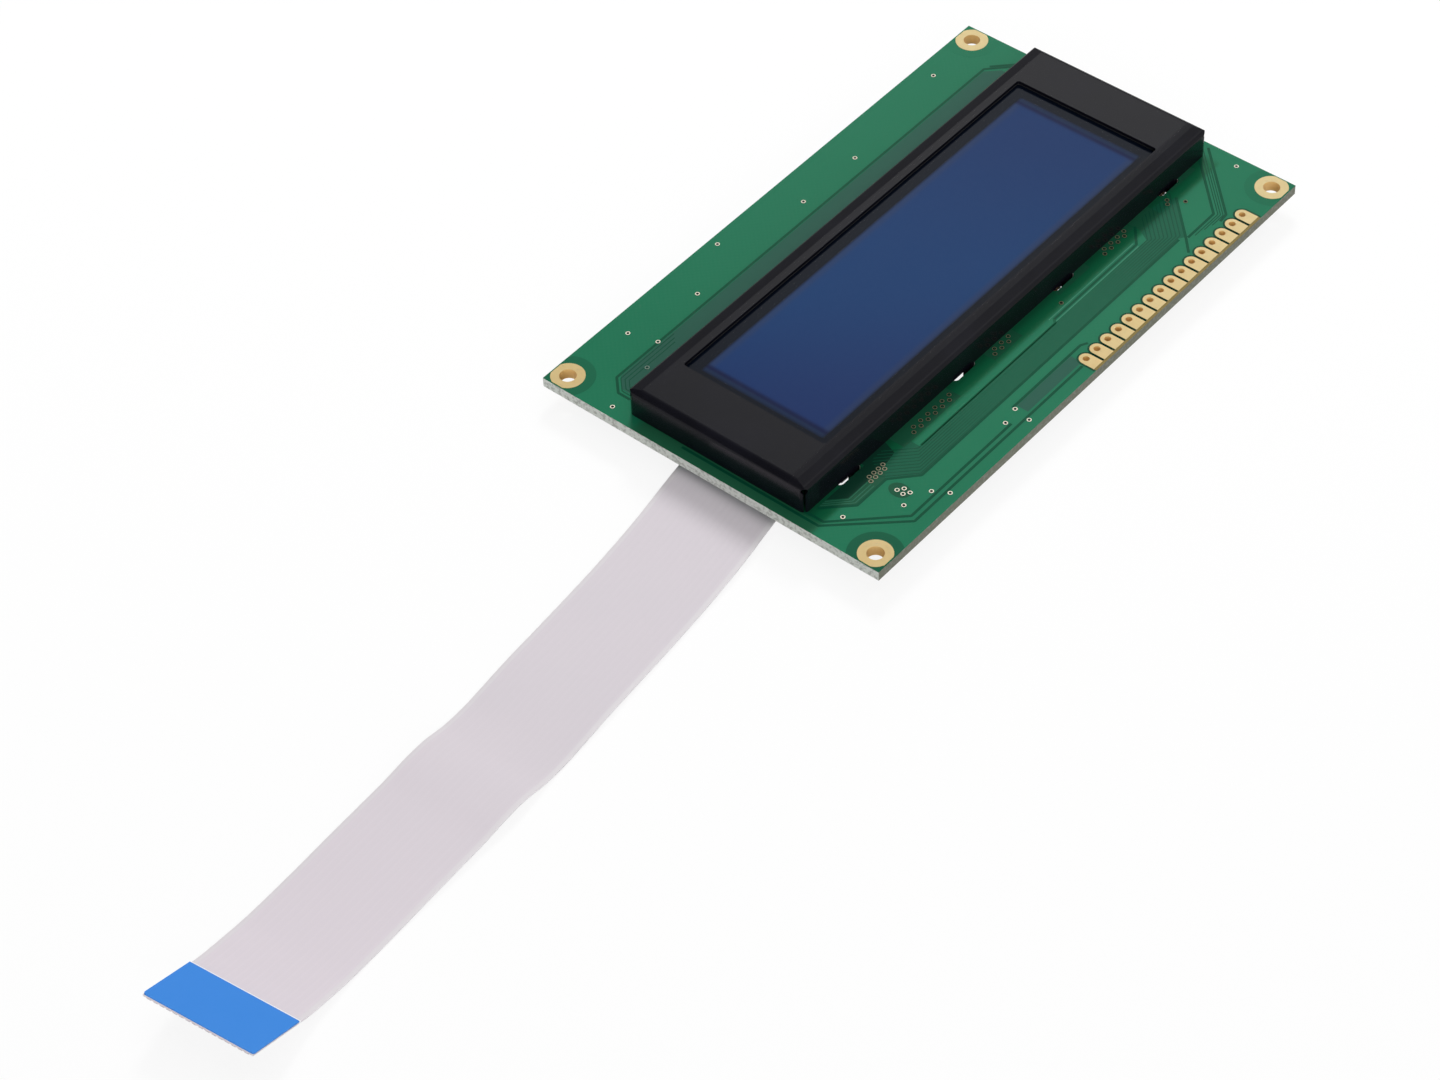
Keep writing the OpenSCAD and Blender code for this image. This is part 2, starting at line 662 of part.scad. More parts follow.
// Bent strip from the foot up to the flank of a body, along X
module bent_lead(body_l, foot, width, height) {
    rotate([90, 0, 0]) linear_extrude(width, center = true) polygon([
        [body_l / 2, height], [body_l / 2 + 2 * lead_t, height],
        [body_l / 2 + 2 * lead_t, lead_t], [body_l / 2 + foot, lead_t], [body_l / 2 + foot, 0],
        [body_l / 2 + lead_t, 0], [body_l / 2 + lead_t, height - lead_t], [body_l / 2, height - lead_t]]);
}

module converter_chip() {
    color([0.12, 0.12, 0.12]) behind(ic_place) moulded_body([ic_l, ic_w, ic_h]);
}

module converter_leads() {
    lead_pitch = 0.95;
    color([0.8, 0.8, 0.82]) behind(ic_place) for (i = [-1 : 1], s = [0, 180])
        rotate([0, 0, s]) translate([i * lead_pitch, 0, 0]) rotate([0, 0, 90])
            bent_lead(ic_w, 0.7, 0.4, ic_h / 2);
}

// Square shield with cut corners, and a round core set in it
module power_inductor() {
    h = coil_w / 2;
    cut = h - coil_chamfer;
    groove = 0.3;
    color([0.25, 0.25, 0.26]) behind(coil_place) difference() {
        linear_extrude(coil_h) polygon([[h, cut], [cut, h], [-cut, h], [-h, cut],
            [-h, -cut], [-cut, -h], [cut, -h], [h, -cut]]);
        translate([0, 0, coil_h - groove]) difference() {
            cylinder(d = core_d, h = groove + through);
            cylinder(d = core_d - 2 * groove, h = groove + through);
        }
    }
}

module inductor_terminals() {
    terminal_w = coil_w - 2 * coil_chamfer - 0.4;
    color([0.8, 0.8, 0.82]) behind(coil_place) for (s = [0, 180]) rotate([0, 0, s])
        bent_lead(coil_w, 0.7, terminal_w, coil_h / 2);
}

module rectifier_diode() {
    color([0.12, 0.12, 0.12]) behind(diode_place, 90) moulded_body([diode_l, diode_w, diode_h]);
}

module diode_leads() {
    color([0.8, 0.8, 0.82]) behind(diode_place, 90) for (s = [0, 180]) rotate([0, 0, s])
        bent_lead(diode_l, 0.6, 0.6, diode_h / 2);
}

module reservoir_capacitor() {
    color([0.85, 0.65, 0.2]) behind(tank_place) moulded_body([tank_l, tank_w, tank_h]);
}

module reservoir_leads() {
    color([0.8, 0.8, 0.82]) behind(tank_place) for (s = [0, 180]) rotate([0, 0, s])
        bent_lead(tank_l, 0.6, tank_w - 0.6, tank_h / 2);
}

module chip_bodies(places, size) {
    for (p = places) behind(p, p[2]) translate([0, 0, chip_end_lip])
        body_block([size[0] - 2 * chip_end_l, size[1] - 2 * chip_end_lip, size[2] - 2 * chip_end_lip]);
}

module chip_ends(places, size) {
    for (p = places, s = [-1, 1]) behind(p, p[2])
        translate([s * (size[0] - chip_end_l) / 2, 0, 0]) body_block([chip_end_l, size[1], size[2]]);
}

module ceramic_capacitors() {
    color([0.6, 0.48, 0.36]) chip_bodies(cap_places, cap_size);
}

module capacitor_ends() {
    color([0.8, 0.8, 0.82]) chip_ends(cap_places, cap_size);
}

module chip_resistors() {
    color([0.1, 0.1, 0.11]) chip_bodies(res_places, res_size);
}

module resistor_ends() {
    color([0.8, 0.8, 0.82]) chip_ends(res_places, res_size);
}

circuit_board();
mounting_lands();
header_pads();
via_plating();
bezel();
window_gasket();
polariser_film();
front_glass();
pixel_layer();
rear_glass();
drying_sheet();
panel_cushion();
panel_tail();
chip_covers();
ribbon_socket();
socket_springs();
socket_anchors();
ribbon_cable();
ribbon_stiffeners();
ribbon_fingers();
converter_chip();
converter_leads();
power_inductor();
inductor_terminals();
rectifier_diode();
diode_leads();
reservoir_capacitor();
reservoir_leads();
ceramic_capacitors();
capacitor_ends();
chip_resistors();
resistor_ends();
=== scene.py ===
import math
import bmesh
import bpy
from mathutils import Matrix, Vector


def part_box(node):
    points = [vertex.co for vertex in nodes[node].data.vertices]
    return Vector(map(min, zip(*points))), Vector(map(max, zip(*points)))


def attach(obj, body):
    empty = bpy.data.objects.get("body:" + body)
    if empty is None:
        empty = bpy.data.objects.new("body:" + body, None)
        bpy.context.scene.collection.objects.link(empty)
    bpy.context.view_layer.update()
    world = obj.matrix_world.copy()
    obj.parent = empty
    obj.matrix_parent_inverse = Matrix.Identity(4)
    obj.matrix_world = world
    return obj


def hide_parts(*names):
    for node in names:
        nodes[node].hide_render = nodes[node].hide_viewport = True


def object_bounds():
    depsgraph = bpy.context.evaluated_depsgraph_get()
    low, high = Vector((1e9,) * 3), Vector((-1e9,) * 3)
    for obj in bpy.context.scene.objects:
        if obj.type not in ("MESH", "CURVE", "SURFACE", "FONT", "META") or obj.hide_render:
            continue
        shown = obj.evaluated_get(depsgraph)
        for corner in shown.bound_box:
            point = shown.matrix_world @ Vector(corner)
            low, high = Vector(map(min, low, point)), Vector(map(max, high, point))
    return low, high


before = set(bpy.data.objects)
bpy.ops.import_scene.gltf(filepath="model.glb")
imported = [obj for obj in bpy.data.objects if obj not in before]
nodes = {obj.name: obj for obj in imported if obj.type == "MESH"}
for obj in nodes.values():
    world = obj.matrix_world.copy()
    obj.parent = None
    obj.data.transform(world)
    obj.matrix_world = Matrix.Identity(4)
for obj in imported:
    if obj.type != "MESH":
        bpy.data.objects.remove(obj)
cadBox = [list(corner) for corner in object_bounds()]
scene = bpy.context.scene
scene.view_settings.view_transform = "Standard"
mm = 0.001
slant = 0.5  # a face looks along an axis where its normal's share there is past this
print("frame:", len(nodes), "solids loaded")


def tone(red, green, blue):  # a screen colour, 0 to 255, as the linear colour that shaders take
    def straight(c):
        return c / 12.92 if c <= 0.04045 else ((c + 0.055) / 1.055) ** 2.4
    return (straight(red / 255), straight(green / 255), straight(blue / 255), 1.0)


def grey(level):
    return (level, level, level, 1.0)


def spread(pair, share):  # the first number, and the second times a share
    return pair[0] + pair[1] * share


def addObject(name, data):
    made = bpy.data.objects.new(name, data)
    scene.collection.objects.link(made)
    return made


def meshOf(name, points, faces=(), edges=()):
    mesh = bpy.data.meshes.new(name)
    mesh.from_pydata([Vector(p) for p in points], edges, faces)
    mesh.update()
    return mesh


def fixNormals(mesh):
    work = bmesh.new()
    work.from_mesh(mesh)
    bmesh.ops.recalc_face_normals(work, faces=work.faces)
    work.to_mesh(mesh)
    work.free()


def arcPoints(middle, reach, steps, start=0.0, end=2 * math.pi):  # reach along the first axis and the second
    angles = [start + (end - start) * k / steps for k in range(steps + 1)]
    return [(middle[0] + reach[0] * math.cos(a), middle[1] + reach[1] * math.sin(a)) for a in angles]


def boxOf(name):  # low and high corner of a solid's box, in millimetres
    return [Vector(corner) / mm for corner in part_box(name)]


def rideRoot(piece):
    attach(piece, "root")


# One socket of a node tree: the operators add Math nodes, and node() adds any other kind
class Sock:
    def __init__(self, tree, socket=None):
        self.tree = tree
        self.socket = socket

    def node(self, kind, settings=None, links=None, out=0):
        made = self.tree.nodes.new(kind)
        for key, value in (settings or {}).items():
            setattr(made, key, value)
        for key, value in (links or {}).items():
            if isinstance(value, Sock):
                self.tree.links.new(value.socket, made.inputs[key])
            else:
                made.inputs[key].default_value = value
        return Sock(self.tree, made.outputs[out] if len(made.outputs) else None)

    def maths(self, operation, *values):
        return self.node("ShaderNodeMath", {"operation": operation}, dict(enumerate(values)))

    def __add__(self, other):
        return self.maths("ADD", self, other)

    __radd__ = __add__

    def __sub__(self, other):
        return self.maths("SUBTRACT", self, other)

    def __rsub__(self, other):
        return self.maths("SUBTRACT", other, self)

    def __mul__(self, other):
        return self.maths("MULTIPLY", self, other)

    __rmul__ = __mul__

    def __truediv__(self, other):
        return self.maths("DIVIDE", self, other)

    def __gt__(self, other):
        return self.maths("GREATER_THAN", self, other)

    def __lt__(self, other):
        return self.maths("LESS_THAN", self, other)

    def __abs__(self):
        return self.maths("ABSOLUTE", self)

    def wave(self, period):
        return self.maths("SINE", self * (2 * math.pi / period))

    def ease(self, low, high):  # 0 below low, 1 above high, smooth between
        return self.node("ShaderNodeMapRange", {"interpolation_type": "SMOOTHSTEP"},
                         {"Value": self, "From Min": low, "From Max": high})

    def mix(self, first, second):  # first where this is 0, second where it is 1
        return self.node("ShaderNodeMix", {"data_type": "RGBA"}, {0: self, 6: first, 7: second}, out=2)


def newFinish(name):
    material = bpy.data.materials.new(name)
    material.use_nodes = True
    material.node_tree.nodes.clear()
    root = Sock(material.node_tree)
    root.material = material
    return root


def closeFinish(root, sockets):
    shader = root.node("ShaderNodeBsdfPrincipled", {}, sockets)
    root.node("ShaderNodeOutputMaterial", {}, {"Surface": shader})
    return root.material


def millimetres(root):  # object coordinates in millimetres: the vector, then x, y and z
    at = root.node("ShaderNodeTexCoord", out="Object")
    scaled = root.node("ShaderNodeVectorMath", {"operation": "SCALE"}, {0: at, "Scale": 1 / mm})
    return [scaled] + axesOf(root, scaled)


def axesOf(root, vector):
    apart = root.node("ShaderNodeSeparateXYZ", {}, {0: vector}).socket.node
    return [Sock(root.tree, socket) for socket in apart.outputs]


def facing(root):  # the true normal's x, y and z
    return axesOf(root, root.node("ShaderNodeNewGeometry", out="True Normal"))


def liesFlat(root):  # 1 on faces that look up or down, 0 on walls
    return abs(facing(root)[2]) > slant


def speckle(root, at, scale, detail=3.0, rough=0.55):  # scale: cells in a millimetre
    return root.node("ShaderNodeTexNoise", {}, {"Vector": at, "Scale": scale, "Detail": detail, "Roughness": rough})


def bumped(root, height, distance, strength):  # distance in metres
    return root.node("ShaderNodeBump", {}, {"Strength": strength, "Distance": distance, "Height": height})


# Camera
cameraSet = {
    "eye": (-318.12, -244.46, 376.82),  # millimetres
    "target": (-57.5, -9.59, 4.2),
    "roll": -2.76,  # degrees
    "lens": 95.29,
    "sensor": 36.0,
    "nearClip": 0.01,  # metres
}


def placeCamera(s):
    data = bpy.data.cameras.new("photoCamera")
    data.sensor_fit = "HORIZONTAL"
    data.sensor_width = s["sensor"]
    data.lens = s["lens"]
    data.clip_start = s["nearClip"]
    eye = Vector(s["eye"]) * mm
    gaze = (Vector(s["target"]) * mm - eye).to_track_quat("-Z", "Y").to_matrix().to_4x4()
    made = addObject("photoCamera", data)
    made.matrix_world = Matrix.Translation(eye) @ gaze @ Matrix.Rotation(math.radians(s["roll"]), 4, "Z")
    scene.camera = made


placeCamera(cameraSet)
print("camera placed")

# Floor, world and lamps
stageSet = {
    "floorSize": 4.0,  # metres
    "floorDrop": 0.00005,
    "floorWhite": 0.9,
    "floorDim": 0.35,  # as the gloss shows it
    "floorGlow": 0.88,  # share that the camera sees as plain white
    "sky": 0.25,
    "dimSide": (-0.75, 0.3, 0.4),  # the sky is darker this way
    "dimEdge": (0.1, 0.8),
    "dimGain": -0.15,
    "screens": [  # pale screens that the gloss shows: middle, gain, cosines of the soft edge
        ((0.629, 0.449, 0.634), 0.8, (0.98, 1.0)),
        ((0.59, -0.12, 0.8), 0.7, (0.955, 0.994)),
        ((0.59, -0.73, 0.32), 0.2, (0.9, 0.985)),
        ((-0.72, -0.68, 0.15), 3.0, (0.75, 0.95)),
    ],
}
lampSet = [  # metres and watts
    {"name": "keyBox", "toward": (0.6, 0.43, 0.67), "distance": 1.1, "size": 0.24, "watts": 7.1},
    {"name": "topBox", "toward": (0.12, 0.1, 0.99), "distance": 1.1, "size": 1.6, "watts": 6.2},
]


def layFloor(s):
    half = s["floorSize"] / 2
    drop = cadBox[0][2] - s["floorDrop"]
    corners = [(-half, -half, drop), (half, -half, drop), (half, half, drop), (-half, half, drop)]
    mesh = meshOf("whiteTable", corners, [(0, 1, 2, 3)])
    root = newFinish("whiteTable")
    camera = root.node("ShaderNodeLightPath", out="Is Camera Ray")
    glossy = root.node("ShaderNodeLightPath", out="Is Glossy Ray")
    matt = root.node("ShaderNodeBsdfDiffuse", {}, {"Color": glossy.mix(grey(s["floorWhite"]), grey(s["floorDim"]))})
    glow = root.node("ShaderNodeEmission", {}, {"Strength": 1.0})
    surface = root.node("ShaderNodeMixShader", {}, {0: camera * s["floorGlow"], 1: matt, 2: glow})
    root.node("ShaderNodeOutputMaterial", {}, {"Surface": surface})
    mesh.materials.append(root.material)
    addObject("whiteTable", mesh)


def lightWorld(s):
    world = bpy.data.worlds.new("studio")
    world.use_nodes = True
    world.node_tree.nodes.clear()
    root = Sock(world.node_tree)
    way = root.node("ShaderNodeTexCoord", out="Generated")
    level = s["sky"]
    for toward, gain, edge in s["screens"] + [(s["dimSide"], s["dimGain"], s["dimEdge"])]:
        near = root.node("ShaderNodeVectorMath", {"operation": "DOT_PRODUCT"},
                         {0: way, 1: Vector(toward).normalized()}, out="Value")
        level = level + gain * near.ease(*edge)
    camera = root.node("ShaderNodeLightPath", out="Is Camera Ray")
    strength = camera + (1 - camera) * level
    sky = root.node("ShaderNodeBackground", {}, {"Color": grey(1.0), "Strength": strength})
    root.node("ShaderNodeOutputWorld", {}, {"Surface": sky})
    scene.world = world


def hangLamp(s):
    data = bpy.data.lights.new(s["name"], "AREA")
    data.shape = "SQUARE"
    data.size = s["size"]
    data.energy = s["watts"]
    toward = Vector(s["toward"]).normalized()
    made = addObject(s["name"], data)
    made.location = toward * s["distance"]
    made.rotation_mode = "QUATERNION"
    made.rotation_quaternion = (-toward).to_track_quat("-Z", "Y")
    made.visible_glossy = False


layFloor(stageSet)
lightWorld(stageSet)
for lamp in lampSet:
    hangLamp(lamp)
print("table, sky and lamps set")

# Ribbon cable
ribbonSet = {
    "width": 17.0,  # millimetres
    "thickness": 0.29,
    "conductors": 16,
    "pitch": 1.0,
    "ridge": 0.012,  # rise of the film over each conductor
    "ridgeWidth": 0.7,
    "ridgeShape": ((-0.5, 0), (-0.3, 1), (0.3, 1), (0.5, 0)),  # shares of the ridge's width and rise
    "sideBevel": 0.12,
    "sideShare": 0.6,  # of the film's thickness, left at both sides
    "crease": 50.0,  # degrees; a sharper edge is drawn sharp
    "steps": 6,  # rings between two points of the route
    "route": [
        (-31.5, -2.2, 1.5), (-36, -2.2, 1.5), (-39.4, -2.2, 1.5), (-40.6, -2.2, 1.5), (-44, -2.42, 1.5),
        (-47.5, -2.8, 1.43), (-51, -3.29, 1.2), (-57, -4.18, 0.78), (-63, -4.97, 0.53), (-69, -5.66, 0.4),
        (-75, -6.28, 0.38), (-82, -6.98, 0.44), (-89, -7.68, 0.55), (-94, -8.16, 0.35), (-98, -8.5, 0.2),
        (-102, -8.79, 0.46), (-106, -9.02, 1.22), (-110, -9.23, 1.28), (-114, -9.41, 0.86), (-119, -9.61, 0.66),
        (-125, -9.86, 0.44), (-131, -10.14, 0.2), (-137, -10.48, 0.2), (-141, -10.75, 0.43), (-144.5, -11.03, 0.95),
        (-147.5, -11.29, 1.5), (-149.5, -11.49, 2.05), (-150.14, -11.566, 2.301), (-151.33, -11.708, 2.768),
        (-158.65, -12.58, 5.64)],
    "film": (tone(216, 208, 214), tone(210, 204, 210)),
    "cloud": 0.05,
    # painted light: the film is lighter toward the free end
    "freeEndLit": tone(221, 212, 219),
    "freeLitStart": 0.4,  # share of the length where that painted light starts
    "trough": tone(196, 190, 196),  # between the conductors
    "troughEdge": (0.3, 0.42),  # shares of the pitch
    "troughGain": 0.06,
    "margin": tone(222, 219, 221),
    "marginEdge": (0.9, 0.5),  # millimetres from the side
    "marginGain": 0.6,
    "seam": (9.0, 9.4),  # the stiffener's pale inner edge, from the free end
    "seamWhite": tone(240, 240, 241),
    "rough": (0.36, 0.12),
    "specular": 0.3,
    "grain": 1.2,
    "bump": (0.00001, 0.4),
}


def smoothPath(points, steps):  # a curve through every point, eased by the lengths of the legs
    points = [Vector(p) for p in points]
    legs = [b - a for a, b in zip(points, points[1:])]
    spans = [leg.length for leg in legs]
    ways = [leg.normalized() for leg in legs]
    slopes = [ways[0]]
    for i in range(1, len(legs)):
        slopes.append((ways[i - 1] * spans[i] + ways[i] * spans[i - 1]) / (spans[i - 1] + spans[i]))
    slopes.append(ways[-1])
    path = []
    for i, span in enumerate(spans):
        for k in range(steps):
            t = k / steps
            ease = t * t * (3 - 2 * t)
            path.append(points[i] + ease * legs[i] + span * t * (1 - t) * ((1 - t) * slopes[i] - t * slopes[i + 1]))
    return path + [points[-1]]


def framesAlong(path):  # across and up at each point of the path
    frames = []
    for i, point in enumerate(path):
        along = (path[min(i + 1, len(path) - 1)] - path[max(i - 1, 0)]).normalized()
        across = Vector((0, 0, 1)).cross(along).normalized()
        frames.append((point, across, along.cross(across)))
    return frames


def ribbonSection(s):  # half the section: place across and height of the film over the middle
    half = s["width"] / 2
    low = s["thickness"] / 2 - s["ridge"]
    side = [(half - s["sideBevel"], low), (half, s["sideShare"] * low)]
    columns = [(-v, h) for v, h in reversed(side)]
    for i in range(s["conductors"]):
        middle = (i - (s["conductors"] - 1) / 2) * s["pitch"]
        for share, rise in s["ridgeShape"]:
            columns.append((middle + share * s["ridgeWidth"], low + rise * s["ridge"]))
    return columns + side


def makeRibbon(s):
    path = smoothPath(s["route"], s["steps"])
    section = ribbonSection(s)
    loop = section + [(v, -h) for v, h in reversed(section)]
    count = len(loop)
    points = [(p + v * across + h * up) * mm for p, across, up in framesAlong(path) for v, h in loop]
    last = (len(path) - 1) * count
    sides = [(k, (k + 1) % count) for k in range(count)]
    faces = [(ring + a, ring + b, ring + count + b, ring + count + a)
             for ring in range(0, last, count) for a, b in sides]
    faces += [tuple(reversed(range(count))), tuple(range(last, last + count))]
    mesh = meshOf("ribbonFilm", points, faces)
    lengths = [0.0]
    for a, b in zip(path, path[1:]):
        lengths.append(lengths[-1] + (b - a).length)
    film = mesh.uv_layers.new(name="film")  # across and along, in millimetres
    for corner in mesh.loops:
        ring, k = divmod(corner.vertex_index, count)
        film.data[corner.index].uv = (loop[k][0], lengths[ring])
    mesh.materials.append(ribbonFinish(s, lengths[-1]))
    mesh.shade_smooth()
    made = addObject("ribbonFilm", mesh)
    mesh.set_sharp_from_angle(angle=math.radians(s["crease"]))
    fixNormals(mesh)
    return made, [p * mm for p in path], lengths[-1] * mm


def ribbonFinish(s, length):
    root = newFinish("ribbonFilm")
    across, along, _ = axesOf(root, root.node("ShaderNodeUVMap", {"uv_map": "film"}))
    at = millimetres(root)[0]
    cloud = speckle(root, at, s["cloud"], detail=2.0)
    # painted light toward the free end
    base = along.ease(s["freeLitStart"] * length, length).mix(cloud.mix(*s["film"]), s["freeEndLit"])
    phase = across / s["pitch"] + 0.5
    trough = 1 - abs(phase.maths("FRACT", phase) - 0.5).ease(*s["troughEdge"])
    lined = (trough * s["troughGain"]).mix(base, s["trough"])
    margin = abs(across).ease(*(s["width"] / 2 - inward for inward in s["marginEdge"]))
    sided = (margin * s["marginGain"]).mix(lined, s["margin"])
    seam = (along > length - s["seam"][1]) * (along < length - s["seam"][0]) * (facing(root)[2] > 0)
    return closeFinish(root, {
        "Base Color": seam.mix(sided, s["seamWhite"]), "Roughness": spread(s["rough"], cloud),
        "Specular IOR Level": s["specular"], "Normal": bumped(root, speckle(root, at, s["grain"]), *s["bump"])})


ribbon, ribbonPath, ribbonLength = makeRibbon(ribbonSet)
rideRoot(ribbon)
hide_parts("ribbon_cable")
ribbonSet["width"] * mm
print("ribbon laid:", round(ribbonLength / mm, 1), "mm")

# Finishes of the solids
def paint(material, *names):
    for name in names:
        mesh = nodes[name].data
        mesh.materials.clear()
        mesh.materials.append(material)


boardSet = {
    "mask": tone(26, 112, 80),
    "maskDeep": tone(22, 107, 76),
    "strip": tone(12, 93, 60),  # beside the bezel: mask with no copper under it, darkened further by painted shade
    "stripDeepShade": tone(10, 78, 51),
    "stripEndShade": tone(34, 95, 67),
    "stripShadeFade": [(-47.0, -45.0), (-18.9, -18.1), (-14.5, -12.5)],  # at the far end, the pads' side and the back
    "stripShadeWall": (-17.4, -15.8),  # the painted shade deepens toward the long wall
    "stripShadeTurn": (46.4, 47.2),  # the painted shade of the strip by the short wall starts here
    # painted light on the cut edges: the ends painted lighter, the long sides darker
    "endFaceLit": tone(200, 204, 198),
    "sideFaceShaded": tone(106, 108, 94),
    "fleck": tone(132, 134, 128),
    "fleckScale": 1.8,
    "fleckEdge": (0.45, 0.66),
    "fleckGain": 0.6,
    "mottle": 0.06,
    "weave": 0.9,  # millimetres between threads
    "ply": 0.23,  # millimetres between layers at the cut edges
    "plyGain": (0.12, 0.12),
    "cutRough": 0.85,
    "maskGloss": (0.63, 0.03),  # the mask is smoother than the cut edges by this
    "specular": 0.2,
    "cutDepth": 2.0,  # bump at the cut edges against the weave's
    "bump": (0.000004, 0.5),
}


def boardFinish(s):
    root = newFinish("greenMask")
    at, x, y, z = millimetres(root)
    _, outY, outZ = facing(root)
    flat = abs(outZ) > slant
    thread = x.wave(s["weave"]) * y.wave(s["weave"])
    mask = speckle(root, at, s["mottle"], detail=2.0).mix(s["mask"], s["maskDeep"])
    # painted shade beside the bezel, over mask with no copper under it
    farFade, padFade, backFade = s["stripShadeFade"]
    inStripShade = (0 - x).ease(*farFade) * y.ease(*padFade) * (0 - y).ease(*backFade) * (outZ > slant)
    strip = y.ease(*s["stripShadeWall"]).mix(s["strip"], s["stripDeepShade"])
    mask = inStripShade.mix(mask, (0 - x).ease(*s["stripShadeTurn"]).mix(strip, s["stripEndShade"]))
    # painted light and shade: the cut edges toned by the way they face
    cut = (abs(outY) > slant).mix(s["endFaceLit"], s["sideFaceShaded"])
    flecks = speckle(root, at, s["fleckScale"], detail=4.0).ease(*s["fleckEdge"])
    grain = flecks * s["fleckGain"] + spread(s["plyGain"], z.wave(s["ply"]))
    relief = thread * flat + s["cutDepth"] * grain * (1 - flat)
    return closeFinish(root, {
        "Base Color": flat.mix(grain.mix(cut, s["fleck"]), mask),
        "Roughness": s["cutRough"] - flat * spread(s["maskGloss"], thread),
        "Specular IOR Level": s["specular"], "Normal": bumped(root, relief, *s["bump"])})


goldSet = {
    "pale": tone(250, 227, 170),
    "warm": tone(241, 207, 139),
    "mottle": 0.35,
    "worn": tone(230, 209, 162),
    "wornGain": 0.6,
    "scuffScale": 2.2,
    "scuffEdge": (0.55, 0.75),
    "wall": tone(240, 196, 122),  # in the holes
    "wallGain": 0.6,
    # painted sheen: the gold paler toward the far end
    "far": tone(249, 228, 172),
    "farFade": (-30.0, 60.0),  # millimetres along x
    "farSheenGain": 0.7,
    "metallic": (0.6, -0.35),  # less in the holes
    "rough": (0.34, 0.16),
    "grain": 5.0,
    "bump": (0.000004, 0.35),
}


def goldFinish(s):
    root = newFinish("paleGold")
    at, x, _, _ = millimetres(root)
    plated = speckle(root, at, s["mottle"]).mix(s["pale"], s["warm"])
    scuffs = speckle(root, at, s["scuffScale"], detail=4.0).ease(*s["scuffEdge"])
    scuffed = (scuffs * s["wornGain"]).mix(plated, s["worn"])
    # painted sheen toward the far end
    colour = (x.ease(*s["farFade"]) * s["farSheenGain"]).mix(scuffed, s["far"])
    inHole = 1 - liesFlat(root)
    return closeFinish(root, {
        "Base Color": (inHole * s["wallGain"]).mix(colour, s["wall"]), "Metallic": spread(s["metallic"], inHole),
        "Roughness": spread(s["rough"], scuffs), "Normal": bumped(root, speckle(root, at, s["grain"]), *s["bump"])})


viaSet = {
    "ring": tone(255, 252, 236),
    "worn": tone(246, 240, 214),
    # painted shade: the hole walls, and rings at the holes' mouths, are near black
    "wall": tone(8, 18, 13),
    "maskedShaded": tone(92, 98, 72),  # rings under the mask and darkened by painted shade, in the groups beside the bezel
    "groups": (-30.0, -20.2),  # millimetres: past this x, and inside this y
    "ringShaded": tone(150, 148, 122),  # rings darkened by painted shade in the group at the ribbon's end, before that x
    "groupStart": -38.0,
    "veiled": tone(120, 146, 132),  # rings in the field behind the bezel
    "field": (-42.0, 16.0, 20.6),  # millimetres: past this x, and between these two in y
    "mottle": 1.5,
    "metallic": 0.15,
    "rough": (0.42, 0.1),
    "grain": 6.0,
    "mouth": 0.36,  # diameter of the painted shade ring at the mouth of each hole
    "mouthWidth": 0.08,
    "mouthRise": 0.01,
    "mouthSteps": 16,
}


def viaFinish(s):
    root = newFinish("viaRing")
    at, x, y, _ = millimetres(root)
    flat = liesFlat(root)
    fieldX, fieldLow, fieldHigh = s["field"]
    veiled = (x > fieldX) * (y > fieldLow) * (y < fieldHigh)
    bright = veiled.mix(speckle(root, at, s["mottle"]).mix(s["ring"], s["worn"]), s["veiled"])
    # painted shade on the via groups beside the bezel
    groupX, groupLow = s["groups"]
    inShadedGroups = (y > groupLow) * (y < 0)
    maskedShaded = (x > groupX) * inShadedGroups
    ringShaded = (x > s["groupStart"]) * (x < groupX) * inShadedGroups
    ring = maskedShaded.mix(ringShaded.mix(bright, s["ringShaded"]), s["maskedShaded"])
    # the hole walls carry the painted shade
    return closeFinish(root, {
        "Base Color": flat.mix(s["wall"], ring), "Metallic": s["metallic"] * flat * (1 - maskedShaded),
        "Roughness": spread(s["rough"], speckle(root, at, s["grain"]))})


bezelSet = {
    "coat": tone(11, 11, 18),
    "rubbed": tone(15, 15, 23),
    "cloud": 0.12,
    "cloudEdge": (0.4, 0.75),
    "rough": (0.16, 0.06),
    "dullSide": (12.2, 13.0),  # millimetres toward the pads: the shoulder there is less glossy
    "dullGain": 0.13,
    "dullSlope": 0.3,  # walls steeper than this stay glossy
    "specular": 0.34,
    "grain": 7.0,
    "bump": (0.000012, 0.35),
}


def bezelFinish(s):
    root = newFinish("satinBlack")
    at, _, y, _ = millimetres(root)
    cloud = speckle(root, at, s["cloud"])
    dull = (0 - y).ease(*s["dullSide"]) * (facing(root)[2] > s["dullSlope"]) * s["dullGain"]
    return closeFinish(root, {
        "Base Color": cloud.ease(*s["cloudEdge"]).mix(s["coat"], s["rubbed"]),
        "Roughness": spread(s["rough"], cloud) + dull, "Specular IOR Level": s["specular"],
        "Normal": bumped(root, speckle(root, at, s["grain"]), *s["bump"])})


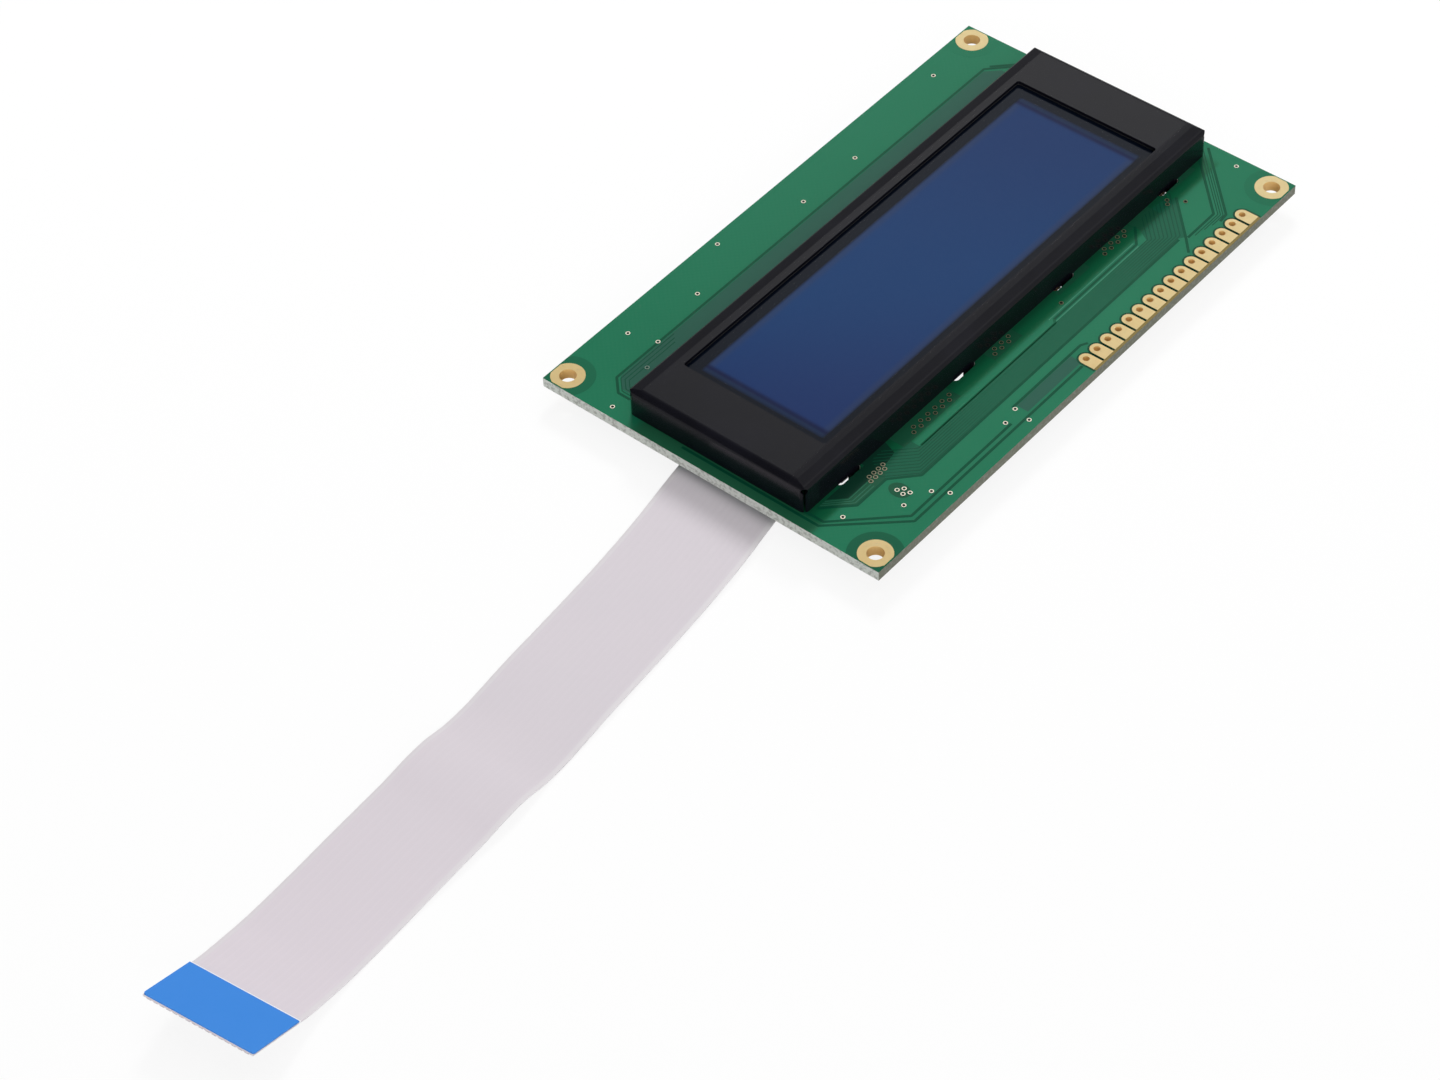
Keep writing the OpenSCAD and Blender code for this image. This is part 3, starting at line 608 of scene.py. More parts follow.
filmSet = {
    "middle": (-0.46, -0.2),  # millimetres; set off, because the film lies above the layer whose blue it shows
    "blueHalf": (35.6, 10.6),
    "blue": tone(12, 53, 100),
    # painted reflection: the blue is toned toward the ribbon's end and toward the far end, as the sheen on the film
    # changes
    "blueNearSheen": tone(18, 43, 91),
    "nearSheenFade": (5, 44),  # millimetres toward the ribbon's end
    "nearSheenSlant": 0.9,
    "blueFarSheen": tone(16, 46, 92),
    "farFade": (-5, 42),  # millimetres toward the far end
    "farSheenSlant": 0.4,
    "rim": tone(36, 52, 84),  # along the two long sides
    "rimGain": 0.6,
    "dip": tone(6, 20, 58),  # dark line across both ends, then a paler one
    "line": tone(16, 35, 65),
    "border": tone(6, 13, 25),
    "rimEdge": (-1.3, -0.3),  # millimetres past the blue's edge
    "dipEdge": (-0.75, 0.1),
    "lineEdge": (0.15, 0.55),
    "lineFade": (0.7, 1.4),
    "sideFade": (-0.25, 0.4),
    "mottle": 0.4,
    "rough": (0.1, 0.04),
    "specular": 0.17,
}


def filmFinish(s):
    root = newFinish("polariser")
    at, x, y, _ = millimetres(root)
    outX, outY = (abs(place - middle) - half for place, middle, half in zip((x, y), s["middle"], s["blueHalf"]))
    # painted reflection toward both ends
    near = (0 - x - y * s["nearSheenSlant"]).ease(*s["nearSheenFade"])
    far = (x + y * s["farSheenSlant"]).ease(*s["farFade"])
    blue = near.mix(far.mix(s["blue"], s["blueFarSheen"]), s["blueNearSheen"])
    lit = (outY.ease(*s["rimEdge"]) * s["rimGain"]).mix(blue, s["rim"])
    dipped = outX.ease(*s["dipEdge"]).mix(lit, s["dip"])
    lined = outX.ease(*s["lineEdge"]).mix(dipped, s["line"])
    ended = outX.ease(*s["lineFade"]).mix(lined, s["border"])
    return closeFinish(root, {
        "Base Color": outY.ease(*s["sideFade"]).mix(ended, s["border"]),
        "Roughness": spread(s["rough"], speckle(root, at, s["mottle"])), "Specular IOR Level": s["specular"]})


plainSet = {  # two colours, scale of the mottle, roughness, metallic share, then the solids
    "gasketFoam": (tone(13, 13, 14), tone(20, 20, 21), 4.0, 0.9, 0.0, "window_gasket", "panel_cushion"),
    "panelGlass": (tone(96, 112, 116), tone(104, 120, 124), 0.2, 0.1, 0.0, "front_glass", "rear_glass"),
    "pixelBlue": (tone(46, 66, 130), tone(52, 74, 140), 0.3, 0.3, 0.0, "pixel_layer"),
    "dryingSheet": (tone(224, 224, 216), tone(212, 212, 204), 1.2, 0.9, 0.0, "drying_sheet"),
    "amberFilm": (tone(186, 116, 38), tone(170, 100, 30), 0.3, 0.35, 0.0, "panel_tail"),
    "castResin": (tone(20, 20, 21), tone(26, 26, 27), 0.5, 0.34, 0.0, "chip_covers"),
    "ivoryPlastic": (tone(222, 212, 188), tone(214, 203, 178), 0.6, 0.5, 0.0, "ribbon_socket"),
    "tinnedMetal": (tone(214, 214, 218), tone(190, 190, 196), 2.0, 0.34, 1.0,
                    "socket_springs", "socket_anchors", "ribbon_fingers", "converter_leads", "inductor_terminals",
                    "diode_leads", "reservoir_leads", "capacitor_ends", "resistor_ends"),
    "stiffenerBlue": (tone(55, 134, 221), tone(60, 137, 224), 0.3, 0.4, 0.0, "ribbon_stiffeners"),
    "epoxyBlack": (tone(34, 34, 36), tone(42, 42, 44), 3.0, 0.62, 0.0, "converter_chip", "rectifier_diode"),
    "ferriteGrey": (tone(56, 56, 60), tone(70, 70, 73), 2.5, 0.72, 0.0, "power_inductor"),
    "ceramicTan": (tone(168, 134, 102), tone(152, 120, 90), 1.5, 0.6, 0.0, "ceramic_capacitors"),
}
plainGloss = {
    "rough": (-0.08, 0.16),  # spread of the roughness with the mottle
    "specular": 0.4,
    "grainShare": 6,  # the bump is this much finer than the mottle
    "bump": (0.00001, 0.3),
}


def plainFinish(name, gloss, first, second, scale, rough, metallic, *solids):
    root = newFinish(name)
    at = millimetres(root)[0]
    mottle = speckle(root, at, scale)
    paint(root.material, *solids)
    return closeFinish(root, {
        "Base Color": mottle.mix(first, second), "Roughness": rough + spread(gloss["rough"], mottle),
        "Metallic": metallic, "Specular IOR Level": gloss["specular"],
        "Normal": bumped(root, speckle(root, at, scale * gloss["grainShare"]), *gloss["bump"])})


tankSet = {
    "body": tone(214, 158, 58),
    "bodyDeep": tone(198, 142, 46),
    "mottle": 1.0,
    "band": tone(112, 70, 26),
    "bandWidth": 0.8,  # millimetres
    "rough": (0.52, 0.1),
    "grain": 4.0,
    "specular": 0.4,
}


def tankFinish(s):
    root = newFinish("epoxyYellow")
    at, x, _, _ = millimetres(root)
    band = x > boxOf("reservoir_capacitor")[1].x - s["bandWidth"]
    body = speckle(root, at, s["mottle"]).mix(s["body"], s["bodyDeep"])
    return closeFinish(root, {
        "Base Color": band.mix(body, s["band"]), "Roughness": spread(s["rough"], speckle(root, at, s["grain"])),
        "Specular IOR Level": s["specular"]})


resistorSet = {
    "glaze": tone(26, 27, 30),
    "ceramic": tone(222, 222, 216),
    "rough": (0.5, 0.12),
    "grain": 3.0,
    "specular": 0.4,
}


def resistorFinish(s):
    root = newFinish("resistorBody")
    at = millimetres(root)[0]
    below = facing(root)[2] < -slant
    return closeFinish(root, {
        "Base Color": below.mix(s["ceramic"], s["glaze"]),
        "Roughness": spread(s["rough"], speckle(root, at, s["grain"])), "Specular IOR Level": s["specular"]})


goldPlate = goldFinish(goldSet)
plain = {name: plainFinish(name, plainGloss, *row) for name, row in plainSet.items()}
paint(boardFinish(boardSet), "circuit_board")
paint(goldPlate, "mounting_lands", "header_pads")
paint(viaFinish(viaSet), "via_plating")
paint(bezelFinish(bezelSet), "bezel")
paint(filmFinish(filmSet), "polariser_film")
paint(tankFinish(tankSet), "reservoir_capacitor")
paint(resistorFinish(resistorSet), "chip_resistors")
paint(ribbon.data.materials[0], "ribbon_cable")
print("solids painted")


# Node trees that grow lines and mounds
growSet = {"turnSteps": 3, "ballSides": 12, "ballRings": 8}


def newTree(name, inputs):
    tree = bpy.data.node_groups.new(name, "GeometryNodeTree")
    tree.interface.new_socket("Geometry", in_out="OUTPUT", socket_type="NodeSocketGeometry")
    tree.interface.new_socket("Geometry", in_out="INPUT", socket_type="NodeSocketGeometry")
    for label, kind in inputs.items():
        tree.interface.new_socket(label, in_out="INPUT", socket_type="NodeSocket" + kind)
    start = tree.nodes.new("NodeGroupInput")
    return tree, Sock(tree), {socket.name: Sock(tree, socket) for socket in start.outputs if socket.name}


def closeTree(root, geometry, finish):
    solid = root.node("GeometryNodeRealizeInstances", {}, {"Geometry": geometry})
    dressed = root.node("GeometryNodeSetMaterial", {}, {"Geometry": solid, "Material": finish})
    root.node("NodeGroupOutput", {}, {0: dressed})


def grow(tree, name, mesh, values):  # runs a tree on a mesh and keeps the result as a plain mesh
    carrier = addObject(name, mesh)
    modifier = carrier.modifiers.new("grow", "NODES")
    modifier.node_group = tree
    for item in tree.interface.items_tree:
        if item.item_type == "SOCKET" and item.in_out == "INPUT" and item.name in values:
            modifier[item.identifier] = values[item.name]
    carrier.update_tag()
    grown = bpy.data.meshes.new_from_object(carrier.evaluated_get(bpy.context.evaluated_depsgraph_get()))
    carrier.modifiers.clear()
    carrier.data = grown
    grown.name = name
    return carrier


def makeStripTree(s):  # a flat bar along every chain of edges
    inputs = {"Width": "Float", "Rise": "Float", "Bend": "Float", "Finish": "Material"}
    tree, root, given = newTree("stripTree", inputs)
    chain = root.node("GeometryNodeMeshToCurve", {}, {"Mesh": given["Geometry"]})
    eased = root.node("GeometryNodeFilletCurve", {"mode": "POLY"},
                      {"Curve": chain, "Count": s["turnSteps"], "Radius": given["Bend"]})
    level = root.node("GeometryNodeSetCurveNormal", {"mode": "Z_UP"}, {"Curve": eased})
    section = root.node("GeometryNodeCurvePrimitiveQuadrilateral", {},
                        {"Width": given["Width"], "Height": given["Rise"]})
    bar = root.node("GeometryNodeCurveToMesh", {}, {"Curve": level, "Profile Curve": section, "Fill Caps": True})
    flat = root.node("GeometryNodeSetShadeSmooth", {}, {"Geometry": bar, "Shade Smooth": False})
    closeTree(root, flat, given["Finish"])
    return tree


def makeDotTree(s):  # a squashed ball at every point, sized by the points' reach
    tree, root, given = newTree("dotTree", {"Finish": "Material"})
    ball = root.node("GeometryNodeMeshUVSphere", {},
                     {"Segments": s["ballSides"], "Rings": s["ballRings"], "Radius": 1.0})
    reach = root.node("GeometryNodeInputNamedAttribute", {"data_type": "FLOAT_VECTOR"}, {"Name": "reach"})
    balls = root.node("GeometryNodeInstanceOnPoints", {},
                      {"Points": given["Geometry"], "Instance": ball, "Scale": reach})
    smooth = root.node("GeometryNodeSetShadeSmooth", {}, {0: balls})
    closeTree(root, smooth, given["Finish"])
    return tree


stripTree = makeStripTree(growSet)
dotTree = makeDotTree(growSet)
boardLow, boardHigh = boxOf("circuit_board")
boardSize = boardHigh - boardLow


def laidChains(name, chains, level):  # chains of (u, v) at a height in millimetres
    points, edges = [], []
    for chain in chains:
        start = len(points)
        points += [(boardLow.x + u, boardLow.y + v, level) for u, v in chain]
        edges += [(start + i, start + i + 1) for i in range(len(chain) - 1)]
    return meshOf(name, [Vector(p) * mm for p in points], edges=edges)


def strips(name, chains, width, level, finish, bend=0.25, rise=0.02):
    values = {"Width": width * mm, "Rise": rise * mm, "Bend": bend * mm, "Finish": finish}
    rideRoot(grow(stripTree, name, laidChains(name, chains, level), values))


def dots(name, spots, finish):  # spots: centre and half sizes, in millimetres
    mesh = meshOf(name, [Vector(p) * mm for p, r in spots])
    reach = mesh.attributes.new("reach", "FLOAT_VECTOR", "POINT")
    for i, (p, r) in enumerate(spots):
        reach.data[i].vector = Vector(r) * mm
    rideRoot(grow(dotTree, name, mesh, {"Finish": finish}))


def plates(name, outlines, low, high, finish):  # thin closed plates
    points, faces = [], []
    for outline in outlines:
        start, count = len(points), len(outline)
        for level in (low, high):
            points += [(boardLow.x + u, boardLow.y + v, level) for u, v in outline]
        ring = range(start, start + count)
        faces += [tuple(reversed(ring)), tuple(i + count for i in ring)]
        faces += [(a, b, b + count, a + count) for a, b in zip(ring, [*ring[1:], start])]
    mesh = meshOf(name, [Vector(p) * mm for p in points], faces)
    fixNormals(mesh)
    mesh.materials.append(finish)
    rideRoot(addObject(name, mesh))


# Copper pattern under the mask of the front, with painted highlights and painted shade
maskSet = {"mottle": 0.5, "ripple": 2.0, "rough": (0.23, 0.04), "ringRough": (0.23, 0.02), "specular": 0.2}


def closeMask(root, colour, rough):
    return closeFinish(root, {
        "Base Color": colour, "Roughness": rough, "Specular IOR Level": maskSet["specular"]})


def maskFinish(name, first, second):
    root = newFinish(name)
    at, x, y, _ = millimetres(root)
    thread = x.wave(boardSet["weave"]) * y.wave(boardSet["weave"])
    colour = speckle(root, at, maskSet["mottle"]).mix(first, second)
    return closeMask(root, colour, spread(maskSet["rough"], thread))


def gapFinish(s):
    root = newFinish("maskGap")
    at, x, y, _ = millimetres(root)
    left, right, low, high = s["wallSpan"]
    # painted light: the long line by the bezel is drawn lighter
    beside = (x > left) * (x < right) * (y > low) * (y < high)
    colour = beside.mix(speckle(root, at, maskSet["mottle"]).mix(*s["gap"]), s["wallGapLit"])
    return closeMask(root, colour, spread(maskSet["rough"], speckle(root, at, maskSet["ripple"])))


def ringFinish(s):  # the ring's own darker tone, painted deepest at the corner by the ribbon and the pads' edge and faint at the far end, where the sheen on the mask grows
    root = newFinish("maskRing")
    at, x, y, _ = millimetres(root)
    middle, alongX, alongY = s["ringSheenFade"]
    colour = (middle - alongX * x - alongY * y).mix(boardSet["mask"], s["ring"])
    return closeMask(root, colour, spread(maskSet["ringRough"], speckle(root, at, maskSet["ripple"])))


def fadingFinish(s):  # tracks that melt into their field toward the board's middle
    root = newFinish("maskFine")
    at, x, _, _ = millimetres(root)
    mottle = speckle(root, at, maskSet["mottle"])
    colour = abs(x).ease(*s["fineFade"]).mix(mottle.mix(*s["field"]), mottle.mix(*s["fine"]))
    return closeMask(root, colour, spread(maskSet["rough"], mottle))


frontSet = {
    "gap": (tone(3, 71, 49), tone(6, 77, 54)),
    "wallGapLit": tone(10, 88, 59),  # the long line by the bezel, painted lighter against the dimmer light there
    "wallSpan": (-27.0, 4.6, -20.4, -19.0),  # millimetres: from and to in x, then in y
    "outline": (tone(8, 62, 42), tone(12, 68, 47)),  # round the pads
    "fine": (tone(12, 72, 52), tone(16, 78, 57)),
    "bare": (tone(20, 78, 55), tone(25, 84, 59)),
    "shade": (tone(10, 52, 38), tone(13, 57, 42)),  # painted shade by the wall at the ribbon's end
    "field": (tone(15, 86, 62), tone(18, 90, 65)),
    "deep": (tone(38, 88, 73), tone(36, 85, 70)),
    # painted highlights along the raised edges of tracks
    "light": (tone(60, 132, 104), tone(54, 126, 98)),
    # dimmer painted highlights by the ribbon's end
    "turn": (tone(40, 106, 80), tone(36, 100, 75)),
    "sink": 0.01,  # millimetres under the board's face, where the plates start
    "fieldRise": 0.006,  # heights over the board's face
    "markRise": 0.01,
    "edgeRise": 0.018,
    "lineLevel": 0.006,
    "outlineLevel": 0.004,
    "gapWidth": 0.42,
    "highlightWidth": 0.14,
    "fineWidth": 0.16,
    "fineTracks": 9,
    "fineStep": 0.4,
    "fineFirst": (18.0, 78.8, 6.95),  # the first track: where it turns at both ends, and its place across
    "fineTaper": 0.45,  # each next one turns this much sooner
    "fineNear": (11.0, 0.5, 13.8),  # where they stop by the ribbon's end: the first, the step and the most
    "fineFar": 13.6,  # where they stop at the far end
    "fineFade": (10.0, 27.0),  # millimetres from the middle: they show fully only near both ends
    "patch": ((13.7, 7.2), (1.3, 1.7), 24),  # bare oval round some vias: middle, reach, points
    "landInset": 2.5,
    "landReach": 2.5,
    "landFlat": 2.3,  # from the land's middle to its flat sides
    "landLap": 0.02,
    "landDrop": 0.0015,  # the rims end this far under the lands' face
    "landSteps": 16,
    "ring": tone(8, 74, 51),
    "ringInner": 2.45,
    "ringOuter": 4.0,
    "ringSteps": 48,
    "ringLeast": 0.02,  # narrower pieces are left out
    "ringSheenFade": (0.4, 0.0045, 0.0036),  # painted fade with the sheen: at the middle, then per millimetre along x and y
    "padCount": 16,
    "padWidth": 2.1,
    "padGap": 0.17,  # from the pad's edge to the middle of the dark line around it
    "outlineWidth": 0.3,
    "outlineStart": 0.15,  # from the board's edge
    "outlineSteps": 10,
    "laminate": (tone(134, 117, 66), tone(124, 109, 62)),  # bare along the edge at the pads' ends
    "laminateWidth": 0.42,
}
# The lines and plates are lists of (u, v), in millimetres from the board's low corner
gapLines = [
    [(1.7, 35.8), (1.7, 11.7), (10.4, 2.05), (48.4, 2.05)],
    [(2.7, 35), (2.7, 11.6), (10.9, 3.0), (33.2, 3.0)],
    [(35.8, 4.75), (51.6, 4.75), (52.6, 4.2)],
    [(4.2, 13.8), (7.9, 9.95), (14.2, 9.95), (17.8, 6.6), (78, 6.6)],
    [(22.3, 10.2), (53, 10.2), (53.6, 10.8), (73.4, 10.8), (76.4, 13.2)],
    [(4.3, 47.5), (4.3, 49.7), (6.5, 51.9), (91.2, 51.9), (94.4, 48.7)],
    [(92.2, 51.6), (95, 48.8)],
    [(79.2, 5.85), (85.6, 5.85), (94.2, 14.4), (97.1, 17.5)],
    [(76.6, 3.9), (78.9, 6), (85.2, 12.2)],
    [(84.9, 4.2), (86.6, 4.35), (90, 7.75), (97.1, 14.85)],
]
fineLines = [
    [(4.9, 47.8), (4.9, 49.5), (6.7, 51.3), (18.2, 51.3)],
    [(5.5, 48.1), (5.5, 49.3), (6.9, 50.7), (17.6, 50.7)],
    [(6.1, 48.4), (6.1, 49.1), (7.1, 50.1), (17, 50.1)],
    [(80.2, 5.3), (85.9, 5.3), (96.8, 16.2)],
    [(82, 4.95), (86.05, 4.95), (96.8, 15.7)],
    [(83.5, 4.6), (86.2, 4.6), (93.6, 12)],
]
# painted highlights along the raised edges of tracks
highlightLines = [
    [(53, 11.3), (73.3, 11.3)],
    [(53.4, 10.35), (73.3, 10.35)],
]
# dimmer painted highlights by the ribbon's end
turnHighlightLines = [
    [(5.75, 13.85), (8.1, 11.55), (12.2, 11.55)],
    [(5.25, 13.85), (8.15, 10.95), (12.2, 10.95)],
    [(4.75, 13.85), (8.1, 10.45), (12.2, 10.45)],
]
fieldPlates = [
    [(18.2, 6.75), (78.2, 6.75), (75.0, 10.1), (22.0, 10.1)],
    [(14.4, 10.1), (17.95, 6.75), (18.2, 6.75), (22.0, 10.1), (22.0, 11.7), (18.9, 12.2), (16.3, 11.7)],
    [(75.0, 10.1), (78.2, 6.75), (79.0, 6.2), (85.0, 12.1), (83.6, 13.3), (80.2, 13.7), (76.6, 12.9)],
]
deepPlates = [
    [(5.2, 46.4), (92.6, 46.4), (92.6, 49.6), (90.7, 51.6), (7, 51.6), (5.2, 49.8)],
    [(36.5, 2.6), (49, 2.6), (49, 4.5), (36.5, 4.5)],
]
barePlates = [
    [(4.2, 13.9), (7.9, 10), (14.2, 10), (16.3, 11.7), (8.2, 11.75), (6.1, 13.9)],
    [(20.5, 11.75), (33.2, 11.75), (33.2, 14.5), (20.5, 14.5)],
    [(41.8, 12.3), (48.2, 12.3), (48.2, 14.5), (41.8, 14.5)],
    [(58, 13.2), (65.5, 13.2), (65.5, 14.5), (62.9, 14.5), (62.9, 13.95), (58, 13.95)],
    [(69, 13.2), (76, 13.2), (76, 14.5), (69, 14.5)],
    [(76.2, 11.8), (81, 11.8), (81, 14.5), (76.2, 14.5)],
    [(86, 13.5), (92, 13.5), (92, 14.5), (88.6, 14.5), (88.6, 13.95), (86, 13.95)],
    arcPoints(*frontSet["patch"])[:-1],
]
# painted shade by the wall at the ribbon's end
shadePlates = [
    [(6.1, 13.9), (8.2, 11.75), (16.3, 11.7), (18.9, 12.2), (19.7, 14.5), (14.4, 14.5), (14.4, 13.92)],
]


def fineBundle(s):  # nested tracks that turn up at both ends
    nearU, farU, firstV = s["fineFirst"]
    firstStop, stopStep, lastStop = s["fineNear"]
    farStop = s["fineFar"]
    chains = []
    for k in range(s["fineTracks"]):
        v = firstV + s["fineStep"] * k
        left, right = nearU + s["fineTaper"] * k, farU - s["fineTaper"] * k
        stop = min(lastStop, firstStop + stopStep * k)
        chains.append([(left - (stop - v), stop), (left, v), (right, v), (right + farStop - v, farStop)])
    return chains


def roomToward(place, way, size):  # how far a ray can go along one axis before the board's edge
    if way == 0:
        return math.inf
    return (place if way < 0 else size - place) / abs(way)


def cornerRings(s):  # dark rings round the corner lands, stopped at the board's edges
    inset, inner, outer, steps = s["landInset"], s["ringInner"], s["ringOuter"], s["ringSteps"]
    outlines = []
    for cu in (inset, boardSize.x - inset):
        for cv in (inset, boardSize.y - inset):
            for i in range(steps):
                quad = []
                for j, reach in ((i, inner), (i + 1, inner), (i + 1, outer), (i, outer)):
                    a = 2 * math.pi * j / steps
                    du, dv = math.cos(a), math.sin(a)
                    r = min(reach, roomToward(cu, du, boardSize.x), roomToward(cv, dv, boardSize.y))
                    quad.append((cu + r * du, cv + r * dv))
                if max(abs(quad[0][0] - quad[3][0]), abs(quad[0][1] - quad[3][1])) > s["ringLeast"]:
                    outlines.append(quad)
    return outlines


def landRims(s):  # round out the lands on the sides away from the board's edges
    reach, inset, base = s["landReach"], s["landInset"], s["landFlat"] - s["landLap"]
    half = math.acos(s["landFlat"] / reach)
    bow = arcPoints((0, 0), (reach, reach), s["landSteps"], -half, half)
    bow = [(base, bow[0][1])] + bow + [(base, bow[-1][1])]
    outlines = []
    for cu, towardU in ((inset, 1), (boardSize.x - inset, -1)):
        for cv, towardV in ((inset, 1), (boardSize.y - inset, -1)):
            outlines.append([(cu + towardU * a, cv + b) for a, b in bow])
            outlines.append([(cu + b, cv + towardV * a) for a, b in bow])
    return outlines


def padPlaces():  # middle of each header hole, in the model's frame
    low, high = boxOf("header_pads")
    half, count = frontSet["padWidth"] / 2, frontSet["padCount"]
    pitch = (high.x - low.x - 2 * half) / (count - 1)
    return [(low.x + half + i * pitch, high.y - half) for i in range(count)]


def padOutlines(s):
    reach, start = s["padWidth"] / 2 + s["padGap"], s["outlineStart"]
    chains = []
    for x, y in padPlaces():
        u, v = x - boardLow.x, y - boardLow.y
        bow = arcPoints((u, v), (reach, reach), s["outlineSteps"], end=math.pi)
        chains.append([(u + reach, start)] + bow + [(u - reach, start)])
    return chains


def bareEdge(s):
    pads = padPlaces()
    half, width = s["padWidth"] / 2, s["laminateWidth"]
    first, last = pads[0][0] - boardLow.x - half, pads[-1][0] - boardLow.x + half
    return [[(first, 0), (last, 0), (last, width), (first, width)]]


def frontPlates(name, outlines, rise, finish):
    plates(name, outlines, boardHigh.z - frontSet["sink"], boardHigh.z + rise, finish)


def layFront(s):
    frontPlates("frontField", fieldPlates, s["fieldRise"], maskFinish("maskField", *s["field"]))
    frontPlates("deepField", deepPlates, s["fieldRise"], maskFinish("maskDeep", *s["deep"]))
    frontPlates("frontBare", barePlates, s["markRise"], maskFinish("maskBare", *s["bare"]))
    frontPlates("frontShade", shadePlates, s["markRise"], maskFinish("maskShade", *s["shade"]))
    frontPlates("cornerRings", cornerRings(s), s["markRise"], ringFinish(s))
    landTop = boxOf("mounting_lands")[1].z
    plates("landRims", landRims(s), boardHigh.z - s["sink"], landTop - s["landDrop"], goldPlate)
    frontPlates("bareEdge", bareEdge(s), s["edgeRise"], maskFinish("bareLaminate", *s["laminate"]))
    level = boardHigh.z + s["lineLevel"]
    strips("frontGaps", gapLines, s["gapWidth"], level, gapFinish(s))
    strips("frontTracks", fineLines + fineBundle(s), s["fineWidth"], level, fadingFinish(s))
    strips("frontHighlights", highlightLines, s["highlightWidth"], level, maskFinish("maskHighlight", *s["light"]))
    strips("frontTurnHighlights", turnHighlightLines, s["highlightWidth"], level, maskFinish("maskTurnHighlight", *s["turn"]))
    strips("padOutlines", padOutlines(s), s["outlineWidth"], boardHigh.z + s["outlineLevel"],
           maskFinish("maskOutline", *s["outline"]), bend=0.0)


layFront(frontSet)
print("front pattern laid")

# Solder, tracks and ink behind the board, and painted shade at the mouths of the vias
rearSet = {
    "track": (tone(46, 136, 99), tone(40, 128, 92)),
    "ink": (tone(232, 234, 228), tone(220, 223, 216)),
    "trackWidth": 0.34,
    "powerWidth": 1.1,
    "inkWidth": 0.22,
    "lineDrop": 0.006,  # under the board's back
    "inkDrop": 0.01,
    "spread": 0.2,  # solder past the foot of each lead
    "rise": 0.34,
    "footDepth": 0.25,  # a solid's foot is the part this near to the board
    "weld": 1e-6,  # metres
    "joined": ["resistor_ends", "capacitor_ends", "reservoir_leads", "diode_leads", "inductor_terminals",
               "converter_leads", "socket_springs", "socket_anchors"],
    "framed": [("ribbon_socket", 1.9), ("power_inductor", 1.1), ("converter_chip", 1.05), ("rectifier_diode", 0.9),
               ("reservoir_capacitor", 1.0)],  # and the room inside each frame
    "frameInset": 1.0,  # the frames stay this far from the board's edge
    "headerFrame": (1.6, 1.2),  # past the pads, and down toward the board's edge
    "coverClearance": 1.0,
    "coverSteps": 64,
    "coverStep": 0.8,  # between tracks at the covers
    "betweenCovers": 12,
    "socketStep": 0.62,  # between the socket's tracks at the cover
    "socketRun": (2.0, 3.0),  # straight stretches at the socket and before the cover
    "padsToCover": 8,
    "padGoal": 5.0,  # the first one ends this far past the cover's middle
    "padTurn": (-16.9, -0.35),  # y of the first turn, then the step
    "resistorPad": 2,  # the first pad that has a resistor
    "resistorRow": -20.0,  # they lie under this y
    "resistorRun": (2.6, 1.2, 1.4),  # straight stretches at the pad, into the resistor and out of it
}
powerLines = [
    [(37.4, 4), (40.2, 4), (41.5, 2.4)], [(31.6, 4), (30.4, 2.6), (30.4, -0.6), (32.6, -1.9), (33.5, -2)],
    [(41.5, -2), (41.5, -5), (42, -6.2)], [(37.9, -7.5), (35.4, -7.5), (34.5, -5.2)],
]


def footBoxes(name, s):  # plan box of each solid's foot on the board's underside
    work = bmesh.new()
    work.from_mesh(nodes[name].data)
    bmesh.ops.remove_doubles(work, verts=work.verts, dist=s["weld"])
    reached, boxes = set(), []
    for start in work.verts:
        island, queue = [], [start]
        while queue:
            vertex = queue.pop()
            if vertex in reached:
                continue
            reached.add(vertex)
            island.append(vertex.co / mm)
            queue += [edge.other_vert(vertex) for edge in vertex.link_edges]
        foot = [p for p in island if p.z > boardLow.z - s["footDepth"]]
        if foot:
            boxes.append([f(p[axis] for p in foot) for axis in (0, 1) for f in (min, max)])
    work.free()
    return boxes


def solderMounds(s):
    spots = []
    for name in s["joined"]:
        for x0, x1, y0, y1 in footBoxes(name, s):
            spots.append((((x0 + x1) / 2, (y0 + y1) / 2, boardLow.z),
                          ((x1 - x0) / 2 + s["spread"], (y1 - y0) / 2 + s["spread"], s["rise"])))
    return spots


# rings of painted shade at the mouths of the vias
def viaShadeRings(s):
    reach = s["mouth"] / 2
    return [arcPoints(((x0 + x1) / 2, (y0 + y1) / 2), (reach, reach), s["mouthSteps"])
            for x0, x1, y0, y1 in footBoxes("via_plating", rearSet)]


def onBoard(chains):  # from the model's middle to the board's low corner
    return [[(x - boardLow.x, y - boardLow.y) for x, y in chain] for chain in chains]


def coverRings(s):  # middle and reach of the ring round each cover
    rings = []
    for x0, x1, y0, y1 in footBoxes("chip_covers", s):
        rings.append(((x0 + x1) / 2, (y0 + y1) / 2, (x1 - x0) / 2 + s["coverClearance"]))
    return sorted(rings)


